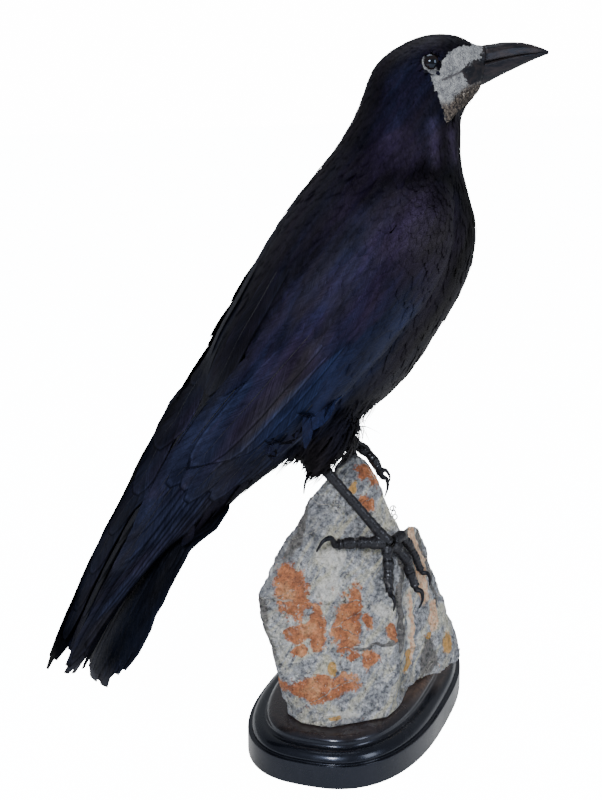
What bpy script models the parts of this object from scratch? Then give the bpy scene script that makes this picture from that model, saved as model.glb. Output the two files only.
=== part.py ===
"""A mounted rook (Corvus frugilegus) on a stone, on an oval moulded wooden base.

The frame is metres with +Z up. The origin is the middle of the base's underside, the bird's
middle plane is y = 0 and its bill points to +X. Named sizes below are in millimetres, and
mm() turns them into metres. Every flesh part is the outline of its feather coat.
"""

import math

import bmesh
import bpy
from mathutils import Matrix, Vector, noise
from mathutils.bvhtree import BVHTree

MM = 0.001
GAP = 0.3                      # clear space between two pieces that touch

# Oval base: a superellipse, turned about +Z from the bird's length
BASE_HALF_LENGTH = 93.6
BASE_HALF_WIDTH = 51.7
BASE_ANGLE = math.radians(45.8)
BASE_POWER = 2.6
BASE_SIDES = 48
BASE_HEIGHT = 24.0
# Moulding, from the foot of the band up and inward: inset from the outline, height
BASE_MOULDING = [
    (0.0, 0.0), (0.0, 11.4), (0.7, 12.1), (2.3, 12.4), (2.5, 14.2), (3.9, 16.6), (6.4, 18.0),
    (9.2, 18.2), (10.2, 19.2), (10.9, 21.6), (12.9, 23.4), (15.4, 24.0),
]

# Stone: corners of the three masses that it is broken into, and its surface roughness
STONE_SEAT = BASE_HEIGHT + GAP
STONE_FLAT = 1.0               # the lowest part of the stone that stays smooth, so that it sits flat
STONE_FOOT = [
    (-58, -48), (-47, -58), (-14, -60), (0, -50), (33, -10), (26, 27), (-4, 33), (-44, -4), (-60, -34),
]
STONE_BODY = [
    (-64, -42, 41), (-47, -60, 32), (-12, -61.5, 31), (2, -49, 46), (5, -44, 62), (8, -34, 90),
    (-70, -35, 62), (-75, -30, 82), (-75, -27, 91), (-67, -14, 90), (-60, -20, 111), (-34, 16, 92),
    (26, 2, 78), (16, 25, 78), (14, -22, 112), (-40, -2, 112), (18, 4, 108), (-4, 21, 110),
    (-32, -12, 142), (-18, 3, 141), (-2, 14, 136), (8, -11, 136), (9, 4, 134),
    (-13, -6, 152), (-8, 3, 153.5), (-4, -6, 154), (3, -5, 149), (2, 5, 149),
]
STONE_SIDE = [
    (10, -25, 112), (22, -16, 113), (30, -12, 110), (37, -9, 98), (42, -9, 80), (49, -9, 61),
    (56, -11, 44), (60, -14, 31), (51, -24, 28), (33, -27, 29), (18, -34, 30), (6, -44, 29),
    (4, -30, 60), (6, -24, 95), (30, 8, 96), (40, 10, 70), (48, 8, 40), (44, 2, 29), (10, 0, 40),
]
STONE_BACK = [
    (-22, 4, 130), (-41, 4, 99), (-50, 8, 66), (-16, 18, 126), (-26, 28, 84), (-40, 24, 60),
    (4, 16, 120), (0, 24, 70), (-46, 0, 72),
]
STONE_ROUGHNESS = 1.5
STONE_GRAIN = 0.055            # noise cycles in each millimetre

# Stations of the body, from the root of the bill to the vent, in the bird's middle plane:
# dorsal x, dorsal z, ventral x, ventral z, half width, height of the widest place, squareness
BODY = [
    (64.5, 370.5, 61.8, 345.6, 8.4, 0.50, 2.1),
    (59.5, 371.2, 58.6, 342.2, 10.6, 0.52, 2.1),
    (53.5, 374.4, 55.0, 337.8, 13.4, 0.58, 2.15),
    (46.0, 376.2, 52.8, 332.4, 15.6, 0.60, 2.2),
    (37.0, 376.2, 52.2, 327.0, 17.4, 0.62, 2.2),
    (28.0, 374.2, 53.2, 321.5, 18.6, 0.62, 2.2),
    (19.0, 370.2, 53.5, 317.0, 19.4, 0.58, 2.15),
    (10.5, 364.8, 54.0, 312.5, 20.2, 0.54, 2.1),
    (4.2, 356.5, 54.8, 308.0, 21.4, 0.50, 2.1),
    (0.6, 346.0, 56.0, 302.5, 23.2, 0.50, 2.1),
    (-4.8, 333.2, 58.2, 296.0, 26.6, 0.50, 2.1),
    (-13.4, 319.6, 61.2, 287.3, 31.4, 0.50, 2.15),
    (-25.4, 304.8, 63.4, 275.8, 36.6, 0.49, 2.25),
    (-39.0, 289.0, 61.8, 262.0, 40.2, 0.48, 2.35),
    (-50.5, 272.5, 56.4, 247.0, 42.0, 0.47, 2.4),
    (-61.0, 256.5, 47.0, 232.5, 42.0, 0.47, 2.4),
    (-70.0, 241.5, 36.4, 217.5, 40.8, 0.47, 2.35),
    (-79.0, 227.8, 25.6, 201.8, 38.6, 0.47, 2.3),
    (-86.4, 213.2, 11.4, 187.6, 35.8, 0.48, 2.2),
    (-93.0, 199.4, -7.6, 175.8, 32.4, 0.50, 2.15),
    (-98.8, 186.0, -28.6, 166.2, 28.6, 0.52, 2.1),
    (-104.4, 172.4, -50.4, 156.0, 24.8, 0.54, 2.1),
    (-109.4, 157.8, -71.4, 143.6, 21.4, 0.56, 2.1),
    (-113.4, 143.2, -90.6, 131.0, 19.6, 0.58, 2.2),
    (-115.6, 129.8, -103.0, 122.6, 19.0, 0.55, 2.4),
]
HEAD_END = 8.4                 # station numbers where the body is parted
NECK_END = 11.0
TRUNK_END = 24.0
HEAD_RINGS = 18
NECK_RINGS = 6
TRUNK_RINGS = 22
BODY_SIDES = 24
HEAD_YAW = math.radians(-10.0)  # the head is turned a little to the bird's right
YAW_AXIS_X = 12.0
YAW_START = 12.5               # station where the neck starts to turn
YAW_FULL = 7.0                 # station from which the whole head is turned

# Bill: x and z of the culmen, z of the cutting edge and of the lower edge, half width, and how
# far the lower edge stands behind the culmen
BILL = [
    (64.9, 370.5, 362.0, 348.3, 8.2, 2.8),
    (69.5, 370.9, 362.7, 350.6, 7.0, 2.0),
    (75.5, 371.4, 363.8, 353.9, 5.9, 1.2),
    (82.0, 371.6, 364.8, 357.0, 4.9, 0.6),
    (88.0, 371.2, 365.5, 359.8, 3.9, 0.2),
    (94.0, 369.9, 365.9, 362.4, 2.7, 0.0),
    (99.0, 368.3, 366.1, 364.3, 1.5, 0.0),
    (102.6, 366.8, 366.0, 365.4, 0.5, 0.0),
]
BILL_RINGS = 13
BILL_SIDES = 12
# Height of the widest place, as a share of each half's own depth, and how square it is there
UPPER_WIDEST = 0.08
UPPER_SQUARENESS = 1.9
LOWER_WIDEST = 0.86
LOWER_SQUARENESS = 2.0
LOWER_WIDTH = 0.95             # lower half's width over the upper half's
EYE = (31.8, 12.4, 362.0)      # centre, before the head turns; the middle number is out sideways
EYE_RADIUS = 5.1
SOCKET_RADIUS = EYE_RADIUS + GAP

# Folded wing: upper edge x, z, distance out from the middle plane, then the lower edge,
# and how far the outer face crowns
WING = [
    (20, 300, 33.0, 31, 291, 34.5, 3.0),
    (10, 301, 34.5, 33, 278, 38.0, 5.5),
    (-2, 297, 35.5, 29, 261, 40.0, 7.0),
    (-18, 285, 35.5, 15, 244, 41.5, 8.5),
    (-33, 269, 33.5, -4, 225, 41.5, 9.0),
    (-48, 253, 30.0, -23, 205, 40.0, 9.0),
    (-63, 237, 25.0, -43, 187, 37.5, 8.0),
    (-78, 219.5, 19.0, -64, 169, 34.0, 7.0),
    (-93, 202, 13.0, -86, 153, 30.0, 5.5),
    (-107.5, 181, 9.0, -105, 139, 25.5, 4.5),
    (-122, 157, 7.0, -124, 122, 20.0, 3.5),
    (-138.5, 131.5, 5.5, -143, 102, 14.5, 3.0),
    (-156.5, 102, 4.5, -157.5, 78.5, 10.0, 2.4),
    (-176, 64.5, 4.0, -166.5, 57.5, 7.4, 1.6),
]
WING_RINGS = 22
WING_CHORDS = 6
WING_THICKNESS = 4.6
WING_EDGE = 0.8
WING_LOOK = 0.5                # how many stations either way the wing's direction is read over
WING_BEND = (20.0, 300.0)
LEFT_WING_REACH = 1.02         # the left wing reaches a little farther than the right one
CUTTER_DEPTH = 26.0
CUTTER_SEAT = 0.6              # clear space behind the wing and beyond its edges
CUTTER_LEAD = (1.2, 0.0, 0.6)  # how far the space goes on past the wing's bend

# Tail: a shallow roof of feathers. Distance along it, half width, crown of the upper face
TAIL_ROOT = (-99.0, 143.0)
TAIL_SLOPE = math.radians(58.5)
TAIL = [
    (20.4, 18.0, 2.6), (34.0, 23.5, 2.8), (54.0, 28.5, 3.0), (73.0, 31.0, 3.0), (86.0, 29.0, 2.8),
    (97.0, 23.5, 2.2), (104.5, 16.0, 1.2), (109.0, 7.5, 0.5),
]
TAIL_RINGS = 15
TAIL_CHORDS = 6
TAIL_THICKNESS = 4.4
TAIL_EDGE = 1.2
TAIL_LEAN = 0.025              # the tail leans to the bird's left, by this share of the distance

# Legs: feathered thigh, bare tarsus and toes
THIGH_RIGHT = [
    (-24, -17, 182, 16.0), (-30, -18.5, 169, 14.0), (-34, -20, 159, 9.6), (-32, -22, 153.6, 4.6),
]
THIGH_LEFT = [
    (-45, 17, 182, 11.5), (-41, 15.4, 173, 9.6), (-31, 13.2, 167.4, 6.8), (-22.5, 11.3, 165, 4.2),
]
ANKLE_RIGHT = (-31.6, -22.2, 152.8)
SOLE_RIGHT = (1.0, -31.5, 111.0)
ANKLE_LEFT = (-21.8, 11.2, 164.7)
SOLE_LEFT = (-9.0, 6.6, 159.4)
TARSUS_ANKLE_RADIUS = 3.2
TARSUS_RADIUS = 2.7
TARSUS_NECK = 0.25             # share of the length in which each end swells
TARSUS_FOOT_RADIUS = 3.4
TARSUS_RINGS = 7
TARSUS_SIDES = 10
THIGH_RINGS = 8
THIGH_SIDES = 14
TOE_CLEARANCE = 0.5
# Each toe: the way its middle line goes, its radii at both ends, and the claw's way after it
TOES = {
    "right_hallux": ([(-7.6, -30.2, 112), (-14, -29, 112.8), (-21, -28, 113.2), (-28, -28, 113.6)], 3.0, 3.0,
                     [(-33, -30, 118.5), (-38, -30.5, 117.5), (-41.5, -30, 112)]),
    "right_toe_inner": ([(-0.8, -33, 106.4), (-1.2, -34.5, 101), (-1.6, -36.5, 93), (-2, -38, 86)], 2.7, 2.4,
                        [(-1.6, -42.5, 84), (-1.8, -44.2, 80.5), (-2.6, -44.2, 77)]),
    "right_toe_middle": ([(6.2, -31, 107.6), (10.5, -30, 101), (14.5, -31, 92), (17, -33, 84)], 2.9, 2.6,
                         [(19.5, -35.5, 81.5), (19.5, -36.8, 77), (17.2, -37.0, 72.5)]),
    "right_toe_outer": ([(7.8, -26.2, 112.8), (14, -24.5, 106.5), (20, -25, 98), (24.2, -26, 90)], 2.5, 2.2,
                        [(27.5, -28, 88), (28.5, -29, 84.5), (28.0, -29, 81)]),
    "left_hallux": ([(-13, 6.5, 156.6), (-17.5, 7.5, 151), (-21.5, 8.5, 145)], 2.9, 2.5,
                    [(-26.5, 9, 142.5), (-29.6, 9, 137.5), (-30.5, 9, 131)]),
    "left_toe_inner": ([(-3.6, 1.2, 158.0), (2, -5, 153), (6, -9, 147)], 2.6, 2.3,
                       [(9.5, -11, 145), (11.3, -12, 142), (11.5, -12, 138.6)]),
    "left_toe_middle": ([(-2, 6.2, 158), (4.8, 6, 153), (10.8, 5, 145.6), (14.6, 4, 138)], 2.9, 2.6,
                        [(18.0, 3.4, 134.5), (18.4, 3.0, 129.5), (16.4, 2.8, 124.5)]),
    "left_toe_outer": ([(-4.8, 11.6, 156.4), (1, 14.5, 150), (6, 16.5, 143)], 2.5, 2.2,
                       [(9.7, 17.8, 140.4), (11.0, 18.2, 137), (10.8, 18.2, 133.6)]),
}
TOE_SIDES = 8
TOE_DENSITY = 3                # rings for each point that a toe is led through
CLAW_SIDES = 6
CLAW_RINGS = 8
CLAW_STRAIGHT = 1.7            # the claw leaves the toe square for this far
CLAW_TIP_RADIUS = 0.35
CLAW_TAPER = 1.4
CLAW_ROOT_SHARE = 0.72         # claw root radius over the toe's tip radius


def mm(x, y, z):
    """A point given in millimetres."""
    return Vector((x, y, z)) * MM


def clear_scene():
    for item in list(bpy.data.objects):
        bpy.data.objects.remove(item, do_unlink=True)


def make_material(name, colour, roughness, metallic=0.0):
    material = bpy.data.materials.new(name)
    material.use_nodes = True
    shader = material.node_tree.nodes["Principled BSDF"]
    shader.inputs["Base Color"].default_value = (*colour, 1.0)
    shader.inputs["Roughness"].default_value = roughness
    shader.inputs["Metallic"].default_value = metallic
    return material


def add_object(name, bm, material, smooth_angle=50.0):
    """Turn a bmesh into a named object with its faces pointing out."""
    bmesh.ops.recalc_face_normals(bm, faces=bm.faces[:])
    mesh = bpy.data.meshes.new(name)
    bm.to_mesh(mesh)
    bm.free()
    mesh.shade_smooth()
    mesh.set_sharp_from_angle(angle=math.radians(smooth_angle))
    obj = bpy.data.objects.new(name, mesh)
    bpy.context.scene.collection.objects.link(obj)
    if material is not None:
        mesh.materials.append(material)
    return obj


def hide_as_cutter(obj):
    obj.hide_render = True
    obj.display_type = "WIRE"
    return obj


def add_boolean(obj, cutter, operation="DIFFERENCE"):
    modifier = obj.modifiers.new(f"{operation.lower()} {cutter.name}", "BOOLEAN")
    modifier.operation = operation
    modifier.solver = "EXACT"
    modifier.object = cutter
    return modifier


def smooth_at(stations, t):
    """Catmull-Rom value at station number t of a list of equal-length tuples."""
    last = len(stations) - 1
    i = min(int(math.floor(t)), last - 1)
    f = t - i
    p0 = stations[max(i - 1, 0)]
    p1 = stations[i]
    p2 = stations[i + 1]
    p3 = stations[min(i + 2, last)]
    return tuple(
        0.5 * (2 * b + (c - a) * f + (2 * a - 5 * b + 4 * c - d) * f * f + (3 * b - a - 3 * c + d) * f ** 3)
        for a, b, c, d in zip(p0, p1, p2, p3)
    )


def spread(start, end, count):
    return [start + (end - start) * k / (count - 1) for k in range(count)]


def loft(rings):
    """A closed bmesh through rings of equal length, with a flat cap at each end."""
    bm = bmesh.new()
    loops = [[bm.verts.new(point) for point in ring] for ring in rings]
    sides = len(loops[0])
    for near, far in zip(loops, loops[1:]):
        for k in range(sides):
            n = (k + 1) % sides
            bm.faces.new((near[k], near[n], far[n], far[k]))
    bm.faces.new(loops[0])
    bm.faces.new(loops[-1])
    return bm


def signed_power(value, exponent):
    return math.copysign(abs(value) ** exponent, value)


def section(dorsal, ventral, half_width, widest, squareness, sides):
    """One flat ring: a squared oval between a dorsal and a ventral point."""
    centre = ventral.lerp(dorsal, widest)
    ring = []
    for k in range(sides):
        angle = 2 * math.pi * k / sides
        along = signed_power(math.cos(angle), 2 / squareness)
        across = signed_power(math.sin(angle), 2 / squareness)
        reach = dorsal - centre if along > 0 else centre - ventral
        ring.append(centre + reach * along + Vector((0, half_width * MM * across, 0)))
    return ring


def turn_point(point, share):
    """Turn a point with the head, by a share of its whole turn."""
    pivot = mm(YAW_AXIS_X, 0, 0)
    return Matrix.Rotation(HEAD_YAW * share, 3, "Z") @ (point - pivot) + pivot


def yaw_share(t):
    f = min(max((YAW_START - t) / (YAW_START - YAW_FULL), 0.0), 1.0)
    return f * f * (3 - 2 * f)


def body_ring(t, grow=0.0):
    dx, dz, vx, vz, width, widest, squareness = smooth_at(BODY, t)
    dorsal = mm(dx, 0, dz)
    ventral = mm(vx, 0, vz)
    out = (dorsal - ventral).normalized() * grow * MM
    ring = section(dorsal + out, ventral - out, width + grow, widest, squareness, BODY_SIDES)
    share = yaw_share(t)
    return [turn_point(point, share) for point in ring]


def shift_ring(ring, toward, distance):
    """Move a flat ring along its own normal, to the side where another ring lies."""
    normal = (ring[0] - ring[len(ring) // 2]).cross(ring[len(ring) // 4] - ring[0]).normalized()
    middle = sum(toward, Vector()) / len(toward) - sum(ring, Vector()) / len(ring)
    if normal.dot(middle) < 0:
        normal = -normal
    return [point + normal * distance * MM for point in ring]


def make_body_part(name, start, end, count, material, first_gap):
    rings = [body_ring(t) for t in spread(start, end, count)]
    if first_gap:
        rings[0] = shift_ring(rings[0], rings[1], GAP)
    return add_object(name, loft(rings), material)


def make_base(material):
    def outline(inset, height):
        ring = []
        for k in range(BASE_SIDES):
            angle = 2 * math.pi * k / BASE_SIDES
            along = (BASE_HALF_LENGTH - inset) * signed_power(math.cos(angle), 2 / BASE_POWER)
            across = (BASE_HALF_WIDTH - inset) * signed_power(math.sin(angle), 2 / BASE_POWER)
            ring.append(Matrix.Rotation(BASE_ANGLE, 3, "Z") @ mm(along, across, height))
        return ring

    return add_object("base", loft([outline(*step) for step in BASE_MOULDING]), material, 35.0)


def make_stone_mass(name, corners, material):
    """A broken block: the hull of its corners, cut finer and roughened."""
    bm = bmesh.new()
    for corner in corners:
        bm.verts.new(mm(*corner))
    hull = bmesh.ops.convex_hull(bm, input=bm.verts[:])
    spare = set(hull["geom_interior"] + hull["geom_unused"])
    loose = [item for item in spare if isinstance(item, bmesh.types.BMVert)]
    bmesh.ops.delete(bm, geom=loose, context="VERTS")
    bmesh.ops.triangulate(bm, faces=bm.faces[:])
    bmesh.ops.subdivide_edges(bm, edges=bm.edges[:], cuts=1, use_grid_fill=True)
    bmesh.ops.triangulate(bm, faces=bm.faces[:])
    floor = (STONE_SEAT + STONE_FLAT) * MM
    middle = sum((vert.co for vert in bm.verts), Vector()) / len(bm.verts)
    for vert in bm.verts:
        if vert.co.z < floor:
            continue
        amount = noise.noise(vert.co * (STONE_GRAIN / MM)) * STONE_ROUGHNESS * MM
        vert.co += (vert.co - middle).normalized() * amount
    return add_object(name, bm, material, 25.0)


def make_stone(material):
    foot = [(x, y, STONE_SEAT) for x, y in STONE_FOOT]
    stone = make_stone_mass("stone", foot + STONE_BODY, material)
    for name, corners in (("stone side mass", STONE_SIDE), ("stone back mass", STONE_BACK)):
        mass = hide_as_cutter(make_stone_mass(name, corners, None))
        add_boolean(stone, mass, "UNION")
    return stone


def make_bill(name, upper, material):
    rings = []
    for t in spread(0.0, len(BILL) - 1.0, BILL_RINGS):
        x, culmen, edge, lower, width, lean = smooth_at(BILL, t)
        edge_x = x - lean * (culmen - edge) / (culmen - lower)
        if upper:
            ends = mm(x, 0, culmen), mm(edge_x, 0, edge + GAP / 2)
            ring = section(*ends, width, UPPER_WIDEST, UPPER_SQUARENESS, BILL_SIDES)
        else:
            ends = mm(edge_x, 0, edge - GAP / 2), mm(x - lean, 0, lower)
            ring = section(*ends, width * LOWER_WIDTH, LOWER_WIDEST, LOWER_SQUARENESS, BILL_SIDES)
        rings.append([turn_point(point, 1.0) for point in ring])
    return add_object(name, loft(rings), material)


def eye_centre(side):
    x, out, z = EYE
    return turn_point(mm(x, side * out, z), 1.0)


def make_ball(name, centre, radius, material, rings=8, sides=12):
    bm = bmesh.new()
    bmesh.ops.create_uvsphere(bm, u_segments=sides, v_segments=rings, radius=radius * MM)
    bmesh.ops.rotate(bm, verts=bm.verts[:], matrix=Matrix.Rotation(math.pi / 2, 3, "X"))
    bmesh.ops.translate(bm, verts=bm.verts[:], vec=centre)
    return add_object(name, bm, material, 80.0)


def wing_place(values, side):
    """Edges and crown of a wing station, for the right (-1) or the left (+1) wing."""
    ux, uz, uy, lx, lz, ly, crown = values
    px, pz = WING_BEND
    reach = LEFT_WING_REACH if side > 0 else 1.0
    upper = mm(px + (ux - px) * reach, side * uy, pz + (uz - pz) * reach)
    lower = mm(px + (lx - px) * reach, side * ly, pz + (lz - pz) * reach)
    return upper, lower, crown


def wing_ring(t, side, outer_extra=0.0, inner_extra=0.0, edge_extra=0.0):
    """Outer face from the upper to the lower edge, then the inner face back again."""
    upper, lower, crown = wing_place(smooth_at(WING, t), side)
    chord = lower - upper
    ahead, ahead_low, _ = wing_place(smooth_at(WING, min(t + WING_LOOK, len(WING) - 1.0)), side)
    back, back_low, _ = wing_place(smooth_at(WING, max(t - WING_LOOK, 0.0)), side)
    length = (ahead + ahead_low) - (back + back_low)
    out = chord.cross(length).normalized()
    if out.y * side < 0:
        out = -out
    across = chord.normalized() * edge_extra * MM
    upper = upper - across
    chord = chord + across * 2
    outer = []
    inner = []
    for k in range(WING_CHORDS + 1):
        f = k / WING_CHORDS
        swell = math.sin(math.pi * f)
        thick = WING_EDGE + (WING_THICKNESS - WING_EDGE) * swell
        middle = upper + chord * f + out * crown * swell * MM
        outer.append(middle + out * (thick / 2 + outer_extra) * MM)
        inner.append(middle - out * (thick / 2 + inner_extra) * MM)
    return outer + inner[::-1]


def make_wing(name, side, material):
    rings = [wing_ring(t, side) for t in spread(0.0, len(WING) - 1.0, WING_RINGS)]
    return add_object(name, loft(rings), material)


def make_wing_cutter(name, side):
    """Space that the body leaves for a wing: from just inside it to well outside it."""
    places = spread(0.0, len(WING) - 1.0, WING_RINGS)
    rings = [wing_ring(t, side, CUTTER_DEPTH, CUTTER_SEAT, CUTTER_SEAT) for t in places]
    rings.insert(0, [point + mm(*CUTTER_LEAD) for point in rings[0]])
    return hide_as_cutter(add_object(name, loft(rings), None))


def make_tail(material):
    way = mm(-math.cos(TAIL_SLOPE), 0, -math.sin(TAIL_SLOPE))
    up = mm(-math.sin(TAIL_SLOPE), 0, math.cos(TAIL_SLOPE))
    side = mm(0, 1, 0)
    root = mm(TAIL_ROOT[0], 0, TAIL_ROOT[1])
    rings = []
    for t in spread(0.0, len(TAIL) - 1.0, TAIL_RINGS):
        along, width, crown = smooth_at(TAIL, t)
        top = []
        under = []
        for k in range(TAIL_CHORDS + 1):
            f = 2 * k / TAIL_CHORDS - 1
            arch = crown * (1 - f * f)
            thick = TAIL_EDGE + (TAIL_THICKNESS - TAIL_EDGE) * (1 - abs(f))
            middle = root + way * along + side * (width * f + TAIL_LEAN * along)
            top.append(middle + up * (arch + thick / 2))
            under.append(middle + up * (arch - thick / 2))
        rings.append(top + under[::-1])
    return add_object("tail", loft(rings), material)


def tube(path, radii, sides, first_way=None):
    """Rings round a path, carried along without twist. The first one may face a set way."""
    rings = []
    normal = None
    for k, point in enumerate(path):
        way = (path[min(k + 1, len(path) - 1)] - path[max(k - 1, 0)]).normalized()
        if k == 0 and first_way is not None:
            way = first_way
        if normal is None:
            normal = way.orthogonal().normalized()
        normal = (normal - way * normal.dot(way)).normalized()
        other = way.cross(normal)
        ring = []
        for s in range(sides):
            angle = 2 * math.pi * s / sides
            ring.append(point + (normal * math.cos(angle) + other * math.sin(angle)) * radii[k])
        rings.append(ring)
    return rings


def sample_path(points, count):
    stations = [tuple(point) for point in points]
    return [Vector(smooth_at(stations, t)) for t in spread(0.0, len(stations) - 1.0, count)]


def make_limb(name, points, count, sides, material):
    """A tapering tube through (x, y, z, radius) stations."""
    samples = [smooth_at(points, t) for t in spread(0.0, len(points) - 1.0, count)]
    path = [mm(*sample[:3]) for sample in samples]
    radii = [sample[3] * MM for sample in samples]
    return add_object(name, loft(tube(path, radii, sides)), material)


def make_thigh(name, points, body_space, material):
    thigh = make_limb(name, points, THIGH_RINGS, THIGH_SIDES, material)
    add_boolean(thigh, body_space)
    return thigh


def make_tarsus(name, ankle, sole, material):
    start = Vector(ankle)
    end = Vector(sole)
    points = [
        (*start, TARSUS_ANKLE_RADIUS),
        (*start.lerp(end, TARSUS_NECK), TARSUS_RADIUS),
        (*end.lerp(start, TARSUS_NECK), TARSUS_RADIUS),
        (*end, TARSUS_FOOT_RADIUS),
    ]
    return make_limb(name, points, TARSUS_RINGS, TARSUS_SIDES, material)


def keep_off(point, surface, distance):
    """Move a point out of the stone, or away from it, until it is this far off."""
    place, normal, _, _ = surface.find_nearest(point)
    offset = point - place
    depth = offset.dot(normal)
    if depth < 0 or offset.length < distance:
        return place + normal * distance
    return point


def make_toe(name, way, radius, tip_radius, claw_way, stone_surface, toe_material, claw_material):
    count = TOE_DENSITY * len(way) - 1
    path = sample_path([mm(*point) for point in way], count)
    radii = [(radius + (tip_radius - radius) * k / (count - 1)) * MM for k in range(count)]
    path = [keep_off(point, stone_surface, r + TOE_CLEARANCE * MM) for point, r in zip(path, radii)]
    add_object(name, loft(tube(path, radii, TOE_SIDES)), toe_material)

    end_way = (path[-1] - path[-2]).normalized()
    root = path[-1] + end_way * GAP * MM
    straight = root + end_way * CLAW_STRAIGHT * MM
    claw_path = [root] + sample_path([straight] + [mm(*point) for point in claw_way], CLAW_RINGS - 1)
    claw_root = tip_radius * CLAW_ROOT_SHARE
    claw_radii = []
    for k in range(CLAW_RINGS):
        share = (k / (CLAW_RINGS - 1)) ** CLAW_TAPER
        claw_radii.append((claw_root + (CLAW_TIP_RADIUS - claw_root) * share) * MM)
    for k in range(2, CLAW_RINGS):
        claw_path[k] = keep_off(claw_path[k], stone_surface, claw_radii[k] + TOE_CLEARANCE * MM)
    claw_rings = tube(claw_path, claw_radii, CLAW_SIDES, end_way)
    add_object(f"{name}_claw", loft(claw_rings), claw_material)


def main():
    clear_scene()
    lacquer = make_material("black lacquered wood", (0.012, 0.010, 0.010), 0.28)
    stone_grey = make_material("grey ore stone", (0.40, 0.41, 0.43), 0.85)
    plumage = make_material("black plumage", (0.012, 0.013, 0.026), 0.45)
    vane = make_material("black flight feather", (0.014, 0.016, 0.030), 0.40)
    horn = make_material("dark horn", (0.045, 0.043, 0.045), 0.32)
    scale = make_material("black leg scale", (0.035, 0.032, 0.034), 0.50)
    glass = make_material("dark glass eye", (0.010, 0.009, 0.009), 0.05)

    make_base(lacquer)
    stone = make_stone(stone_grey)

    head = make_body_part("head", 0.0, HEAD_END, HEAD_RINGS, plumage, False)
    make_body_part("neck", HEAD_END, NECK_END, NECK_RINGS, plumage, True)
    trunk = make_body_part("trunk", NECK_END, TRUNK_END, TRUNK_RINGS, plumage, True)
    body_rings = [body_ring(t, GAP) for t in spread(NECK_END, TRUNK_END, TRUNK_RINGS)]
    body_space = hide_as_cutter(add_object("body space", loft(body_rings), None))

    make_bill("bill_upper", True, horn)
    make_bill("bill_lower", False, horn)
    make_tail(vane)
    for side, word in ((-1, "right"), (1, "left")):
        make_ball(f"eye_{word}", eye_centre(side), EYE_RADIUS, glass)
        socket = hide_as_cutter(make_ball(f"socket {word}", eye_centre(side), SOCKET_RADIUS, None))
        add_boolean(head, socket)
        make_wing(f"wing_{word}", side, vane)
        add_boolean(trunk, make_wing_cutter(f"wing space {word}", side))

    make_thigh("thigh_right", THIGH_RIGHT, body_space, plumage)
    make_thigh("thigh_left", THIGH_LEFT, body_space, plumage)
    make_tarsus("tarsus_right", ANKLE_RIGHT, SOLE_RIGHT, scale)
    make_tarsus("tarsus_left", ANKLE_LEFT, SOLE_LEFT, scale)

    bpy.context.view_layer.update()
    depsgraph = bpy.context.evaluated_depsgraph_get()
    stone_surface = BVHTree.FromObject(stone, depsgraph)
    for name, (way, radius, tip_radius, claw_way) in TOES.items():
        make_toe(name, way, radius, tip_radius, claw_way, stone_surface, scale, horn)


main()
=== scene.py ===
"""The look of a mounted rook, its stone and its base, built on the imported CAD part.

Lengths are metres. The bird's own middle plane is y = 0 and it faces +X, as in the part.
Every feather is a closed vane. Contour feathers grow from a skin, and flight feathers lie on
the folded wings, the back and the tail.
"""

import math

import bmesh
import bpy
import numpy as np
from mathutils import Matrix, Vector, kdtree, noise
from mathutils.bvhtree import BVHTree


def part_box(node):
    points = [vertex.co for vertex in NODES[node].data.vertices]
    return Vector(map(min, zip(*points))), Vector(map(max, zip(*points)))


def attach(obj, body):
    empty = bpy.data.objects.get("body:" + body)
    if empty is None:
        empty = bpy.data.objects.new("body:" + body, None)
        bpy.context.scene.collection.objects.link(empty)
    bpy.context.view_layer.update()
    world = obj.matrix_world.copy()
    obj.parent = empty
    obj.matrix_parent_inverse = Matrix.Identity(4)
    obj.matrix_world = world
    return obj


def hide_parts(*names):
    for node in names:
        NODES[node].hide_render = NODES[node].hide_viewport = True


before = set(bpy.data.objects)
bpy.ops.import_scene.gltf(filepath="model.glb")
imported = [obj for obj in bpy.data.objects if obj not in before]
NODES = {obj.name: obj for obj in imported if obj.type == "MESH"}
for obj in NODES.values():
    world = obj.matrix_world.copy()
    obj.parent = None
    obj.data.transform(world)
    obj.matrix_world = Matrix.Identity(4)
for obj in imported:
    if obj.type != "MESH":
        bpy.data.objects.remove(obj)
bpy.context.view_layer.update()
MM = 0.001
UP = Vector((0, 0, 1))
rng = np.random.default_rng(11)

SIDES = {"right": -1, "left": 1}
TOES = ("hallux", "toe_inner", "toe_middle", "toe_outer")

# Skin
GROW = 0.6 * MM                # the parts are grown this far so that they melt into one skin
SKIN_VOXEL = 1.6 * MM
SKIN_SMOOTH = 6
WING_SKIN_END = 0.52           # share of the wing's length that has skin under its feathers

# Contour feathers, by share of the way from the root of the bill to the root of the tail
COAT_SHARE = (0.0, 0.1, 0.2, 0.3, 0.45, 0.7, 1.0)
COAT_DEPTH = (0.4, 0.7, 1.3, 1.9, 2.2, 2.2, 1.8)       # mm
FEATHER_LENGTH = (3.6, 4.6, 8.0, 13.0, 18.0, 21.0, 26.0)
FEATHER_WIDTH = (1.6, 2.1, 3.3, 5.2, 7.6, 8.6, 9.5)
FEATHER_SPACING = (1.0, 1.15, 1.8, 2.5, 3.2, 3.6, 3.8)
SPACING_STEPS = 9
MARCH_STEPS = 5

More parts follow.
